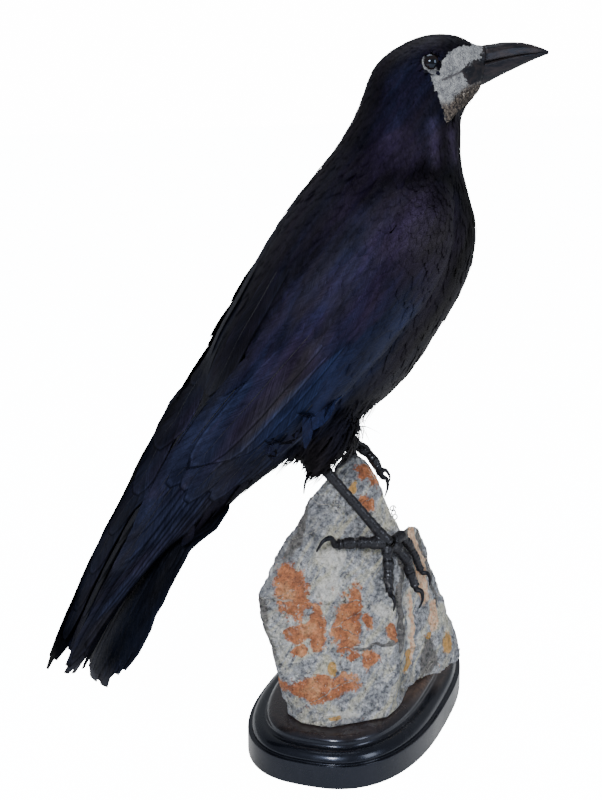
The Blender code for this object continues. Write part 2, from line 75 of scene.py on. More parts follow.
# Folded wing. Along it from the bend (mm) and across it towards the lower edge (mm), for a
# wing of the nominal length, then each feather's width and its lift off the carrier
WING_NOMINAL = 308.6
WING_AHEAD = 2.0               # how far the wing reaches ahead of its frame's start
PRIMARY_TIPS = {
    "right": ((303, 12.5), (308, 8.5), (309.5, 4), (305, 0.5), (296, -1.5), (284, -4.5), (268, -8),
              (250, -12), (232, -16), (213, -19.5)),
    "left": ((286, 8), (294, 4), (302, 0), (308, -3), (302, -5.5), (288, -8), (271, -11),
             (251, -14), (231, -17), (212, -20)),
}
SECONDARY_TIPS = ((146, 14), (154, 11.5), (163, 9), (172, 6.5), (181, 3.5), (188, 0), (194, -4),
                  (199, -9), (202, -14), (204, -19))
TERTIAL_TIPS = ((154, 0), (170, -6), (178, -11), (185, -16))
TERTIAL_WIDTHS = (13, 15, 17, 18)
# Inner feathers that lap over the back. Along from the bend and aside from the middle, and width (mm)
OVER_BACK = ((150, 12.0, 15), (187, 8.0, 19), (212, 7.0, 15), (236, 6.0, 13), (258, 5.5, 12),
             (278, 5.0, 11), (294, 4.5, 10))
# Rows of coverts on a wing: where the row's tips start and end, how many there are, their length and
# width, and their lift off the wing (mm)
LOWER_COVERTS = (
    ((120, 16), (114, -4), 12, 46, 9.0, 0.9),
    ((100, 19), (94, -6), 13, 36, 8.6, 1.0),
    ((84, 21), (78, -8), 15, 27, 8.0, 1.0),
    ((70, 23), (62, -10), 18, 22, 7.0, 1.0),
    ((58, 24), (50, -12), 21, 18, 6.2, 1.0),
    ((47, 25), (40, -13), 24, 15, 5.4, 1.0),
    ((38, 24), (32, -14), 26, 13, 4.8, 1.0),
    ((31, 22), (25, -16), 27, 11, 4.4, 1.0),
    ((24, 19), (19, -17), 27, 10, 4.2, 1.0),
    ((18, 16), (13, -18), 26, 9, 4.0, 1.0),
    ((12, 13), (7, -18), 24, 8.5, 3.9, 1.0),
    ((7, 11), (2, -16), 21, 8, 3.8, 1.0),
    ((2, 9), (-3, -14), 18, 8, 3.7, 0.9),
    ((-3, 6), (-7, -10), 13, 8, 3.6, 0.7),
)
UPPER_COVERTS = (
    ((142, -8), (138, -27), 7, 52, 10.0, 1.7),
    ((125, -6), (120, -29), 9, 44, 9.0, 1.6),
    ((109, -4), (103, -30), 11, 36, 8.2, 1.5),
    ((94, -4), (87, -31), 13, 30, 7.4, 1.5),
    ((81, -6), (72, -31), 14, 25, 6.8, 1.5),
    ((69, -9), (58, -31), 14, 21, 6.2, 1.5),
    ((58, -12), (46, -31), 14, 18, 5.6, 1.4),
    ((47, -14), (35, -30), 13, 16, 5.2, 1.3),
    ((37, -16), (25, -29), 12, 13, 4.8, 1.2),
    ((28, -18), (16, -28), 10, 11, 4.4, 1.1),
)
RECTRICES = 12                 # tail feathers

# Vanes. The profiles give the width's share in each row from root to tip
SOFT_ROUND = 0.10              # how round a vane is shaded, as the sine of its edge's tilt
PATCH = 0.003                  # side of a small feather's square in the bake map
BODY_PROFILE = np.array([0.45, 0.95, 1.0, 0.78, 0.16])
HACKLE_PROFILE = np.array([0.60, 1.0, 0.85, 0.50, 0.08])
COVERT_PROFILE = np.array([0.50, 0.75, 0.92, 1.0, 1.0, 0.93, 0.72, 0.22])
FLIGHT_PROFILE = np.array([0.50, 0.62, 0.76, 0.88, 0.96, 1.0, 1.0, 1.0, 0.99, 0.97, 0.92, 0.84, 0.70,
                           0.48, 0.14])
TIP_PROFILE = np.array([0.50, 0.62, 0.76, 0.88, 0.96, 1.0, 1.0, 1.0, 1.0, 0.99, 0.96, 0.91, 0.80,
                        0.60, 0.22])
BLUNT_PROFILE = np.array([0.50, 0.66, 0.80, 0.90, 0.97, 1.0, 1.0, 1.0, 1.0, 1.0, 0.98, 0.95, 0.86,
                          0.66, 0.26])
FIELD_SLOPE = 0.9              # how steeply a surface falls away past its own edge
FIELD_STEP = 3 * MM
LATE_SKIN = 3.2 * MM           # how deep the skin stays under the folded wing

# Eyes and feet
EYE_RADIUS = 5.1 * MM          # for the colour of the glass
LID_HEIGHT = 2.2               # mm from the middle of the eye out to the lid's ring
SHANK_SCALE = 4.2 * MM         # length of one scale on the shank and on a toe
TOE_SCALE = 2.1 * MM
SHANK_ROWS = 60
TOE_ROWS = 48
CLAW_ROWS = 30


# ---------------------------------------------------------------- geometry helpers

def middle(node):
    """The middle of a part's box."""
    low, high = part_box(node)
    return (low + high) / 2


def smooth_step(x, low, high):
    t = np.clip((np.asarray(x, float) - low) / (high - low), 0, 1)
    return t * t * (3 - 2 * t)


def read_mesh(mesh):
    """Vertex places and normals as arrays."""
    count = len(mesh.vertices)
    co = np.empty(count * 3, np.float32)
    no = np.empty(count * 3, np.float32)
    mesh.vertices.foreach_get("co", co)
    mesh.vertices.foreach_get("normal", no)
    return co.reshape(-1, 3).astype(float), no.reshape(-1, 3).astype(float)


def write_places(mesh, co):
    mesh.vertices.foreach_set("co", np.asarray(co, np.float32).ravel())
    mesh.update()


def write_value(mesh, name, values):
    """Keep a number on each vertex, for a material to read."""
    attribute = mesh.attributes.new(name, "FLOAT", "POINT")
    attribute.data.foreach_set("value", np.asarray(values, np.float32))


def tree_of(*meshes):
    bm = bmesh.new()
    for mesh in meshes:
        bm.from_mesh(mesh)
    tree = BVHTree.FromBMesh(bm)
    bm.free()
    return tree


def show(obj, material, slot, *stands_for):
    """Give a piece its look, hang it on the root, and hide the parts that it stands for."""
    obj.data.materials.clear()
    obj.data.materials.append(material)
    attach(obj, "root")
    if stands_for:
        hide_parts(*stands_for)


def new_object(name, mesh):
    obj = bpy.data.objects.new(name, mesh)
    bpy.context.scene.collection.objects.link(obj)
    return obj


def object_from_bmesh(name, bm, sharp=None):
    mesh = bpy.data.meshes.new(name)
    bm.to_mesh(mesh)
    bm.free()
    mesh.shade_smooth()
    if sharp is not None:
        mesh.set_sharp_from_angle(angle=math.radians(sharp))
    return new_object(name, mesh)


def object_from_arrays(name, co, faces, maps=None, values=None, normals=None):
    """A mesh object from vertex places and a list of face arrays, each with one corner count."""
    mesh = bpy.data.meshes.new(name)
    loops = np.concatenate([f.ravel() for f in faces])
    totals = np.concatenate([np.full(len(f), f.shape[1]) for f in faces])
    starts = np.concatenate([[0], np.cumsum(totals)[:-1]])
    mesh.vertices.add(len(co))
    mesh.vertices.foreach_set("co", np.asarray(co, np.float32).ravel())
    mesh.loops.add(len(loops))
    mesh.loops.foreach_set("vertex_index", loops.astype(np.int32))
    mesh.polygons.add(len(totals))
    mesh.polygons.foreach_set("loop_start", starts.astype(np.int32))
    mesh.update(calc_edges=True)
    for key, uv in (maps or {}).items():
        layer = mesh.uv_layers.new(name=key)
        layer.uv.foreach_set("vector", np.asarray(uv, np.float32)[loops].ravel())
    for key, value in (values or {}).items():
        write_value(mesh, key, value)
    mesh.shade_smooth()
    if normals is not None:
        mesh.normals_split_custom_set(normals.astype(np.float32))
    return new_object(name, mesh)


def bake_modifiers(obj):
    """Put the modifiers' result into the object's own mesh."""
    depsgraph = bpy.context.evaluated_depsgraph_get()
    mesh = bpy.data.meshes.new_from_object(obj.evaluated_get(depsgraph))
    obj.modifiers.clear()
    obj.data = mesh
    mesh.shade_smooth()
    return obj


def remesh(obj, voxel, smooth_steps):
    """One closed skin round everything in the object, smoothed."""
    modifier = obj.modifiers.new("remesh", "REMESH")
    modifier.mode = "VOXEL"
    modifier.voxel_size = voxel
    soften = obj.modifiers.new("smooth", "SMOOTH")
    soften.factor = 0.5
    soften.iterations = smooth_steps
    return bake_modifiers(obj)


def keep_largest_island(obj):
    """Drop every loose scrap, so that one closed skin is left."""
    bm = bmesh.new()
    bm.from_mesh(obj.data)
    left = set(bm.verts)
    islands = []
    while left:
        stack = [left.pop()]
        island = set(stack)
        while stack:
            vert = stack.pop()
            for edge in vert.link_edges:
                other = edge.other_vert(vert)
                if other in left:
                    left.discard(other)
                    island.add(other)
                    stack.append(other)
        islands.append(island)
    islands.sort(key=len)
    for island in islands[:-1]:
        bmesh.ops.delete(bm, geom=list(island), context="VERTS")
    bm.to_mesh(obj.data)
    bm.free()


def catmull(points, count):
    """Points on a smooth line through the given ones."""
    stations = np.asarray(points, float)
    last = len(stations) - 1
    out = []
    for t in np.linspace(0, last, count):
        i = min(int(t), last - 1)
        f = t - i
        p0, p1 = stations[max(i - 1, 0)], stations[i]
        p2, p3 = stations[i + 1], stations[min(i + 2, last)]
        out.append(0.5 * (2 * p1 + (p2 - p0) * f + (2 * p0 - 5 * p1 + 4 * p2 - p3) * f * f
                          + (3 * p1 - p0 - 3 * p2 + p3) * f ** 3))
    return np.array(out)


def unit(vectors):
    return vectors / np.maximum(np.linalg.norm(vectors, axis=-1, keepdims=True), 1e-12)


def near_path(u, v, line):
    """Distance (mm) from a bent line."""
    near = np.full(np.shape(u), 999.0)
    for (ax, ay), (bx, by) in zip(line, line[1:]):
        t = np.clip(((u - ax) * (bx - ax) + (v - ay) * (by - ay)) / ((bx - ax) ** 2 + (by - ay) ** 2), 0, 1)
        near = np.minimum(near, np.hypot(u - ax - t * (bx - ax), v - ay - t * (by - ay)))
    return near


def read_off(line, x):
    places = np.array(line)
    return np.interp(x, places[:, 0], places[:, 1])


def bridge(bm, rings, ends=True):
    """Faces between rings of corners, and over the first and the last ring."""
    for near, far in zip(rings, rings[1:]):
        for k in range(len(near)):
            n = (k + 1) % len(near)
            bm.faces.new((near[k], near[n], far[n], far[k]))
    if ends:
        bm.faces.new(rings[0][::-1])
        bm.faces.new(rings[-1])


def close_rows(bm, grid):
    """Faces over a grid of corners that closes on itself both ways."""
    rows = list(zip(*grid))
    bridge(bm, rows + rows[:1], ends=False)


# ---------------------------------------------------------------- materials

def put(tree, kind, inputs=None, **settings):
    """Add a node. Each input is a value, or another node's output to link."""
    node = tree.nodes.new(kind)
    for key, value in settings.items():
        setattr(node, key, value)
    for key, value in (inputs or {}).items():
        value = getattr(value, "socket", value)
        if isinstance(value, bpy.types.NodeSocket):
            tree.links.new(value, node.inputs[key])
        else:
            node.inputs[key].default_value = value
    return node


class Wire:
    """A node's output, which sums, products and ramps can be made from."""

    def __init__(self, tree, socket):
        self.tree, self.socket = tree, socket

    def math(self, operation, other=0.0, clamp=False):
        node = put(self.tree, "ShaderNodeMath", {0: self, 1: other}, operation=operation, use_clamp=clamp)
        return Wire(self.tree, node.outputs[0])

    def __add__(self, other):
        return self.math("ADD", other)

    def __sub__(self, other):
        return self.math("SUBTRACT", other)

    def __mul__(self, other):
        return self.math("MULTIPLY", other)

    def rest(self):
        """What is left of one."""
        node = put(self.tree, "ShaderNodeMath", {0: 1.0, 1: self}, operation="SUBTRACT", use_clamp=True)
        return Wire(self.tree, node.outputs[0])

    def ramp(self, *stops):
        """Stops are (place, value) or (place, colour)."""
        node = put(self.tree, "ShaderNodeValToRGB", {0: self})
        elements = node.color_ramp.elements
        while len(elements) < len(stops):
            elements.new(0.5)
        for element, (place, colour) in zip(elements, stops):
            element.position = place
            element.color = (*colour, 1.0) if hasattr(colour, "__len__") else (colour, colour, colour, 1.0)
        return Wire(self.tree, node.outputs[0])

    def fade(self, low, high, most=1.0):
        """Nothing up to the low value, the most from the high value on."""
        return self.ramp((low, 0.0), (high, most))


class Look:
    """A material in the making, with short names for the nodes that feed its shader."""

    def __init__(self, name, **shader):
        self.material = bpy.data.materials.new(name)
        self.material.use_nodes = True
        self.tree = self.material.node_tree
        self.shader = self.tree.nodes["Principled BSDF"]
        for key, value in shader.items():
            value = (*value, 1.0) if hasattr(value, "__len__") else value
            self.shader.inputs[key.replace("_", " ")].default_value = value
        self.here = self.wire("ShaderNodeTexCoord", output="Object")

    def wire(self, kind, inputs=None, output=0, **settings):
        return Wire(self.tree, put(self.tree, kind, inputs, **settings).outputs[output])

    def value(self, name):
        """A number that the mesh keeps on its vertices."""
        return self.wire("ShaderNodeAttribute", output="Fac", attribute_name=name)

    def noise(self, scale, detail=3.0, rough=0.5, distortion=0.0, at=None):
        return self.wire("ShaderNodeTexNoise", {
            "Vector": at or self.here, "Scale": scale, "Detail": detail, "Roughness": rough,
            "Distortion": distortion})

    def cells(self, scale, output="Distance", at=None, **settings):
        inputs = {"Vector": at or self.here, "Scale": scale}
        return self.wire("ShaderNodeTexVoronoi", inputs, output, **settings)

    def mapped(self, scale, rotation=(0.0, 0.0, 0.0), at=None, **settings):
        inputs = {"Vector": at or self.here, "Rotation": rotation, "Scale": scale}
        return self.wire("ShaderNodeMapping", inputs, **settings)

    def split(self, vector):
        node = put(self.tree, "ShaderNodeSeparateXYZ", {0: vector})
        return [Wire(self.tree, socket) for socket in node.outputs]

    def join(self, x, y, z=0.0):
        return self.wire("ShaderNodeCombineXYZ", {0: x, 1: y, 2: z})

    def mix(self, factor, a, b, blend="MIX"):
        a, b = ((*colour, 1.0) if isinstance(colour, tuple) else colour for colour in (a, b))
        return self.wire("ShaderNodeMix", {0: factor, 6: a, 7: b}, 2, data_type="RGBA", blend_type=blend,
                         clamp_factor=True)

    def done(self, colour, tint=None, rough=None, bump=None):
        """Feed the shader and give the material. bump is a height, its strength and its distance."""
        feeds = {"Base Color": colour, "Specular Tint": tint, "Roughness": rough}
        if bump:
            feeds["Normal"] = self.wire("ShaderNodeBump", dict(zip(("Height", "Strength", "Distance"), bump)))
        for key, wire in feeds.items():
            if wire is not None:
                self.tree.links.new(wire.socket, self.shader.inputs[key])
        return self.material


# The way the back, the wings and the tail run, and the way square to it, seen from the side
LONG_SLOPE = np.array([-0.651, 0.0, -0.759])
CROSS_SLOPE = np.array([0.759, 0.0, -0.651])


def along_feathers(look, squeeze):
    """Places with the bird's long slope squeezed, so that a noise on them draws out into streaks."""
    run, rise = (
        look.wire("ShaderNodeVectorMath", {0: look.here, 1: tuple(way)}, "Value", operation="DOT_PRODUCT")
        for way in (LONG_SLOPE, CROSS_SLOPE))
    return look.join(run * squeeze, rise, look.split(look.here)[1])


def plumage_material(name, navy, violet, dusty, roughness, streak, rim_painted_light):
    """Black feathers with a blue-violet shine, barbs that slant off the shaft, and worn patches. Each vane's
    edge and tip is darkened as painted shade where the feathers lap, flight feathers get a painted lighter
    band just inside the edge, and the mesh's brightness value adds painted shade and painted sheen by zone.
    """
    look = Look(name, Specular_IOR_Level=0.5, IOR=1.38)
    drawn = along_feathers(look, 0.22)
    across, along, _ = look.split(look.wire("ShaderNodeUVMap", uv_map="vane"))
    tint = look.value("tint")
    barb = along - across.math("ABSOLUTE") * 2.2 + tint * 57.0
    barbs = look.noise(streak, 4.0, 0.7, at=look.join(barb, across * 0.12))
    patch = look.noise(75.0, 4.0, 0.62, 0.4, drawn)
    purple = (patch * 1.5 + tint * 0.08 + (look.value("violet") - 0.85)).fade(0.15, 0.62)
    worn = look.noise(48.0, 5.0, 0.65, at=drawn).fade(0.46, 0.66) * 0.55
    worn = worn.math("ADD", look.value("dull"), True)
    cloud = look.noise(110.0, 4.0, 0.7, at=drawn)
    # rim darkens each vane towards its edge and tip as painted shade where the feathers lap; the flight ramp
    # also paints a lighter band just inside the edge
    shade = barbs.ramp((0.30, 0.50), (0.70, 1.55)) * look.value("rim").ramp(*rim_painted_light) * (tint * 0.22 + 0.89)
    # The mesh's brightness value carries painted shade along the shoulder's fold and painted sheen on the
    # throat and the shoulder
    shade = shade * look.value("gloss") * cloud.ramp((0.30, 0.45), (0.70, 1.60))
    colour = look.mix(worn, look.mix(purple, navy, violet), dusty)
    gloss = look.mix(worn, look.mix(purple, (0.17, 0.29, 1.00), (0.36, 0.24, 0.84)), (0.33, 0.31, 0.42))
    colour, gloss = (look.mix(1.0, part, shade, "MULTIPLY") for part in (colour, gloss))
    rough = barbs * 0.20 + (roughness - 0.10) + worn * 0.10
    return look.done(colour, gloss, rough, (barbs, 0.6, 0.0004))


def skin_material():
    """Black under the feathers, pale and warty on the bare face, dark horn behind the bill."""
    look = Look("rook skin", Specular_IOR_Level=0.22)
    horn = look.value("horn")
    warts = look.cells(900.0)
    fine = look.noise(760.0, 4.0, 0.75)
    blotch = look.noise(230.0, 5.0, 0.65, 0.5)
    pale = look.mix(blotch.fade(0.36, 0.62), (0.085, 0.090, 0.105), (0.30, 0.315, 0.335))
    pale = look.mix(warts.ramp((0.0, 0.8), (0.40, 0.0)), pale, (0.44, 0.45, 0.46))
    pale = look.mix(fine.fade(0.53, 0.66, 0.60), pale, (0.060, 0.060, 0.070))
    rusty = look.mix(fine.fade(0.42, 0.58), (0.115, 0.096, 0.082), (0.008, 0.007, 0.009))
    pale = look.mix(look.value("scab"), pale, rusty)
    pale = look.mix(look.value("crease") * 0.85, pale, (0.030, 0.027, 0.032))
    dark = look.mix(blotch.fade(0.45, 0.65), (0.0056, 0.0058, 0.0080), (0.021, 0.017, 0.018))
    edge = horn + (fine - 0.5) * 1.8 + (blotch - 0.5) * 1.6
    face = look.mix(edge.fade(0.36, 0.64), pale, dark)
    # The nostril's pit is painted near-black: painted shade in the opening
    face = look.mix(look.value("pit"), face, (0.004, 0.004, 0.005))
    shown = (look.value("bare") + (fine - 0.5) * 0.9).fade(0.35, 0.55)
    colour = look.mix(shown, (0.0025, 0.0025, 0.0045), face)
    sheen = look.mix(horn, (0.85, 0.88, 0.95), (0.60, 0.68, 0.90))
    sheen = look.mix(shown, (0.03, 0.03, 0.05), sheen)
    bumps = (warts * -0.8 + fine * 0.6) * horn.rest()
    return look.done(colour, sheen, horn.ramp((0.3, 0.60), (0.7, 0.40)), (bumps, 1.0, 0.0012))


def scab_material():
    """Dry flakes and worn quill stubs on the chin."""
    look = Look("rook chin scab", Roughness=0.75, Specular_IOR_Level=0.2)
    pick = look.value("tint") + (look.noise(900.0, 3.0, 0.6) - 0.5)
    return look.done(pick.ramp((0.30, (0.010, 0.009, 0.010)), (0.55, (0.032, 0.026, 0.024)),
                               (0.76, (0.11, 0.092, 0.078)), (0.94, (0.24, 0.22, 0.20))))


def horn_material(name, dark, light, roughness, shine=0.22):
    look = Look(name, Specular_IOR_Level=shine)
    streaks = look.noise(420.0, 4.0, 0.65, 0.4, look.mapped((0.25, 1.0, 1.0)))
    return look.done(look.mix(streaks.fade(0.42, 0.66), dark, light),
                     look.mix(streaks, (0.45, 0.55, 0.80), (0.75, 0.82, 1.00)),
                     streaks.ramp((0.3, roughness - 0.06), (0.8, roughness + 0.12)), (streaks, 0.35, 0.0002))


def leg_material():
    """Near-black scales with dark grooves and specks of dust."""
    look = Look("rook leg scale", Specular_IOR_Level=0.42)
    groove = look.value("groove")
    grain = look.noise(700.0, 4.0, 0.6)
    colour = look.mix(grain, (0.003, 0.003, 0.004), (0.015, 0.014, 0.016))
    colour = look.mix(groove, colour, (0.002, 0.002, 0.002))
    colour = look.mix(look.noise(190.0, 5.0, 0.7).fade(0.60, 0.70, 0.45), colour, (0.20, 0.20, 0.205))
    return look.done(colour, look.mix(groove, (0.62, 0.68, 0.82), (0.05, 0.05, 0.06)),
                     grain.ramp((0.3, 0.20), (0.7, 0.42)), (look.cells(1100.0), 0.5, 0.0002))


def eye_material():
    """Dark glass, a little browner in the iris."""
    look = Look("rook glass eye", Roughness=0.05, Specular_IOR_Level=0.40, Specular_Tint=(0.55, 0.72, 1.0))
    x, y, _ = look.split(look.here)
    radius = look.wire("ShaderNodeVectorMath", {0: look.join(x, y)}, "Value", operation="LENGTH")
    return look.done(radius.math("DIVIDE", EYE_RADIUS).ramp(
        (0.0, (0.003, 0.003, 0.004)), (0.44, (0.004, 0.004, 0.005)), (0.50, (0.010, 0.006, 0.005)),
        (0.80, (0.006, 0.004, 0.004)), (0.95, (0.002, 0.002, 0.003))))


def lid_material():
    """Dark skin with pale flecks, where the mesh says that it is pale."""
    look = Look("rook eyelid", Roughness=0.55)
    fine = look.noise(1300.0, 3.0, 0.6)
    flecked = look.noise(3.0, 1.0, at=look.cells(1500.0, "Color")) * fine + look.value("pale")
    colour = look.mix(flecked.fade(0.30, 0.50), (0.006, 0.006, 0.008), (0.34, 0.35, 0.39))
    return look.done(colour, bump=(fine, 0.6, 0.0003))


def stone_material():
    """Grey ore with rust, ochre and peach patches, white grains and thin pale cracks, with painted shade in
    its recesses and painted light on its high grains, and dark patches of which two are painted shade.
    """
    look = Look("grey ore stone", Specular_IOR_Level=0.35)
    broad = look.noise(24.0, 5.0, 0.6, 0.5)
    middle_size = look.noise(85.0, 8.0, 0.72, 0.4)
    gritty = look.noise(380.0, 6.0, 0.78, 0.2)
    fine = look.noise(420.0, 7.0, 0.78)
    grit = look.noise(1300.0, 4.0, 0.8)
    tilted = look.mapped((3.4, 1.0, 0.6), (0.0, -0.78, 0.0), vector_type="TEXTURE")
    streaks = look.noise(70.0, 7.0, 0.7, 0.8, tilted)

    def ragged(name, low, high, most, wide=1.4, small=0.9):
        """A patch mask with a ragged edge."""
        edge = look.value(name) + (middle_size - 0.5) * wide + (fine - 0.5) * small
        return edge.fade(low, high, most)

    grey = (streaks * 0.55 + gritty * 0.45).ramp(
        (0.36, (0.075, 0.083, 0.105)), (0.44, (0.26, 0.28, 0.33)), (0.52, (0.46, 0.485, 0.54)),
        (0.62, (0.84, 0.86, 0.88)))
    cream = fine.ramp((0.35, (0.34, 0.325, 0.225)), (0.60, (0.80, 0.79, 0.66)))
    grey = look.mix(streaks.fade(0.49, 0.60, 0.80), grey, cream)
    grey = look.mix(broad.fade(0.53, 0.68, 0.65), grey, (0.085, 0.09, 0.11))
    grey = look.mix(fine.fade(0.52, 0.62, 0.80), grey, (0.050, 0.052, 0.062))
    dark = look.mix(fine.fade(0.35, 0.60), (0.012, 0.012, 0.016), (0.20, 0.195, 0.195))
    # Dark patches: dark ore, and in two places painted shade
    colour = look.mix(ragged("dark_ore_and_painted_shade", 0.36, 0.66, 0.90, 1.8), grey, dark)
    peach = look.mix(fine.fade(0.4, 0.65), (0.72, 0.40, 0.22), (0.95, 0.78, 0.62))
    colour = look.mix(ragged("tan", 0.42, 0.58, 0.92, 1.1), colour, peach)
    pale = look.mix(fine, (0.55, 0.56, 0.56), (0.95, 0.95, 0.92))
    colour = look.mix(ragged("quartz", 0.50, 0.80, 0.75, 2.4, 1.6), colour, pale)
    oxide = middle_size.ramp((0.34, (0.22, 0.060, 0.020)), (0.50, (0.50, 0.17, 0.065)),
                             (0.66, (0.72, 0.36, 0.18)))
    oxide = look.mix(fine.fade(0.52, 0.64, 0.75), oxide, (0.17, 0.085, 0.055))
    colour = look.mix(ragged("rust", 0.42, 0.60, 0.94, 2.4, 1.5), colour, oxide)
    ochre = look.mix(fine, (0.36, 0.17, 0.02), (0.74, 0.42, 0.10))
    colour = look.mix(ragged("ochre", 0.46, 0.70, 0.85, 2.0, 1.4), colour, ochre)

    shake = look.wire("ShaderNodeTexNoise", {"Vector": look.here, "Scale": 60.0}, 1)
    shaken = look.mix(0.012, look.here, shake)
    slabs = look.mapped((0.5, 1.0, 1.7), (0.2, 0.5, 0.3), shaken)
    slabs = look.cells(40.0, at=slabs, feature="DISTANCE_TO_EDGE")
    cracks = slabs.ramp((0.003, 0.8), (0.016, 0.0)) * broad.fade(0.46, 0.56)
    filling = look.mix(fine.fade(0.48, 0.52), (0.06, 0.058, 0.06), (0.60, 0.59, 0.57))
    colour = look.mix(cracks, colour, filling)
    # Painted shade in the recesses and painted light on the high grains, from the same noise as the bump
    painted_relief_light = (gritty * 0.7 + grit * 0.3).ramp((0.36, 0.42), (0.46, 1.0), (0.62, 1.75))
    colour = look.mix(1.0, colour, painted_relief_light, "MULTIPLY")
    grains = look.noise(700.0, 3.0, 0.6).math("GREATER_THAN", 0.68)
    colour = look.mix(grains * 0.85, colour, (0.92, 0.92, 0.90))
    rocky = middle_size + gritty * 1.1 + fine * 0.6 + grit * 0.35 - cracks * 0.5
    return look.done(colour, rough=fine.ramp((0.3, 0.60), (0.7, 0.95)), bump=(rocky, 1.0, 0.0042))


def lacquer_material():
    """Black lacquer, worn brown on the inner moulding with a painted brown highlight towards its right end,
    with dust and a few chips.
    """
    look = Look("black lacquered wood", Specular_IOR_Level=0.45, Coat_Weight=0.30, Coat_Roughness=0.14)
    worn = look.noise(34.0, 5.0, 0.65, 0.4)
    dust = look.noise(420.0, 4.0, 0.65)
    # Brown on the mouldings: partly wear, partly a painted highlight on the right end
    wear_and_painted_highlight = look.value("wear_and_painted_highlight") * dust.ramp((0.30, 0.45), (0.70, 1.3))
    colour = look.mix(worn.fade(0.45, 0.75), (0.0030, 0.0036, 0.0058), (0.0075, 0.0085, 0.0125))
    colour = look.mix(wear_and_painted_highlight, colour, (0.21, 0.145, 0.115))
    colour = look.mix(dust.fade(0.68, 0.78, 0.25), colour, (0.30, 0.29, 0.27))
    colour = look.mix(look.noise(95.0, 4.0, 0.75).fade(0.735, 0.75, 0.9), colour, (0.55, 0.58, 0.60))
    return look.done(colour, look.mix(wear_and_painted_highlight, (0.42, 0.52, 0.80), (0.7, 0.66, 0.62)),
                     worn.ramp((0.35, 0.20), (0.75, 0.42)), (worn, 0.12, 0.0006))


# The last ramp of each material is painted light at the vane's edge: painted shade at the edge and tip, and
# for flight feathers a painted lighter band just inside it
PLUMAGE = plumage_material("rook body plumage", (0.0020, 0.0026, 0.0060), (0.0046, 0.0034, 0.0066),
                           (0.0054, 0.0047, 0.0056), 0.48, 0.75, ((0.60, 1.03), (1.0, 0.84)))
FLIGHT = plumage_material("rook flight feather", (0.0022, 0.0034, 0.0080), (0.0056, 0.0044, 0.0072),
                          (0.0052, 0.0056, 0.0070), 0.45, 0.70,
                          ((0.78, 1.0), (0.87, 1.5), (0.93, 1.1), (0.97, 0.40)))
SKIN = skin_material()
HORN = horn_material("rook bill horn", (0.0060, 0.0062, 0.0085), (0.024, 0.019, 0.020), 0.38)
CLAW = horn_material("rook claw horn", (0.004, 0.004, 0.005), (0.016, 0.015, 0.016), 0.36)
SHAFT = horn_material("rook feather shaft", (0.006, 0.006, 0.007), (0.020, 0.019, 0.020), 0.45, 0.20)
SCAB = scab_material()
LEG = leg_material()


# ---------------------------------------------------------------- the bird's own axes

eye_mid = (middle("eye_right") + middle("eye_left")) / 2
head_left = (middle("eye_left") - middle("eye_right")).normalized()
head_ahead = head_left.cross(UP).normalized()


def head_axes(co):
    """Ahead of the eyes, above them and aside from the middle, in mm."""
    away = (np.asarray(co) - np.array(eye_mid)) / MM
    return away @ np.array(head_ahead), away[..., 2], np.abs(away @ np.array(head_left))


def wing_frame(node):
    """A wing seen from the side: where its frame starts, the ways along and across it, its scale."""
    co, _ = read_mesh(NODES[node].data)
    flat = np.array([1.0, 0.0, 1.0])
    tip_seed = co[np.argmin(co[:, 0] + co[:, 2])]
    tip = co[np.linalg.norm(co - tip_seed, axis=1) < 9 * MM].mean(axis=0) * flat
    bend_seed = co[np.argmax(np.linalg.norm(co - tip, axis=1))]
    bend = co[np.linalg.norm(co - bend_seed, axis=1) < 16 * MM].mean(axis=0) * flat
    axis = unit(tip - bend)
    across = np.array([-axis[2], 0, axis[0]])
    run = (co - bend) @ axis
    scale = (run.max() - run.min()) / (WING_NOMINAL * MM)
    start = bend + axis * (run.min() + WING_AHEAD * scale * MM)
    return start, axis, across, scale


tail_co, _ = read_mesh(NODES["tail"].data)
tail_root = tail_co[tail_co[:, 2] > tail_co[:, 2].max() - 8 * MM].mean(axis=0)
tail_end = tail_co[np.argmin(tail_co[:, 2])] * np.array([1, 0, 1])
trunk_co, _ = read_mesh(NODES["trunk"].data)
SPINE = catmull([
    np.array(eye_mid + head_ahead * 34 * MM - UP * 3 * MM),
    np.array(eye_mid - UP * 5 * MM),
    np.array(middle("neck")) * np.array([1, 0, 1]),
    trunk_co.mean(axis=0) * np.array([1, 0, 1]),
    tail_root * np.array([1, 0, 1]),
], 90)
SPINE_STEP = np.linalg.norm(np.diff(SPINE, axis=0), axis=1)
SPINE_SHARE = np.concatenate([[0], np.cumsum(SPINE_STEP)]) / SPINE_STEP.sum()
SPINE_WAY = unit(np.gradient(SPINE, axis=0))


def spine_place(co):
    """Share of the way down the spine, angle round it from the back, and the way it runs."""
    co = np.asarray(co, float)
    nearest = np.empty(len(co), int)
    for start in range(0, len(co), 20000):
        block = co[start:start + 20000]
        gap = ((block[:, None, :] - SPINE[None, :, :]) ** 2).sum(axis=2)
        nearest[start:start + 20000] = gap.argmin(axis=1)
    way = SPINE_WAY[nearest]
    back = np.cross(np.array([0.0, 1.0, 0.0]), way)
    out = co - SPINE[nearest]
    angle = np.arctan2(out[:, 1], (out * back).sum(axis=1))
    return SPINE_SHARE[nearest], angle, way


def along_coat(share, values):
    return np.interp(share, COAT_SHARE, values)


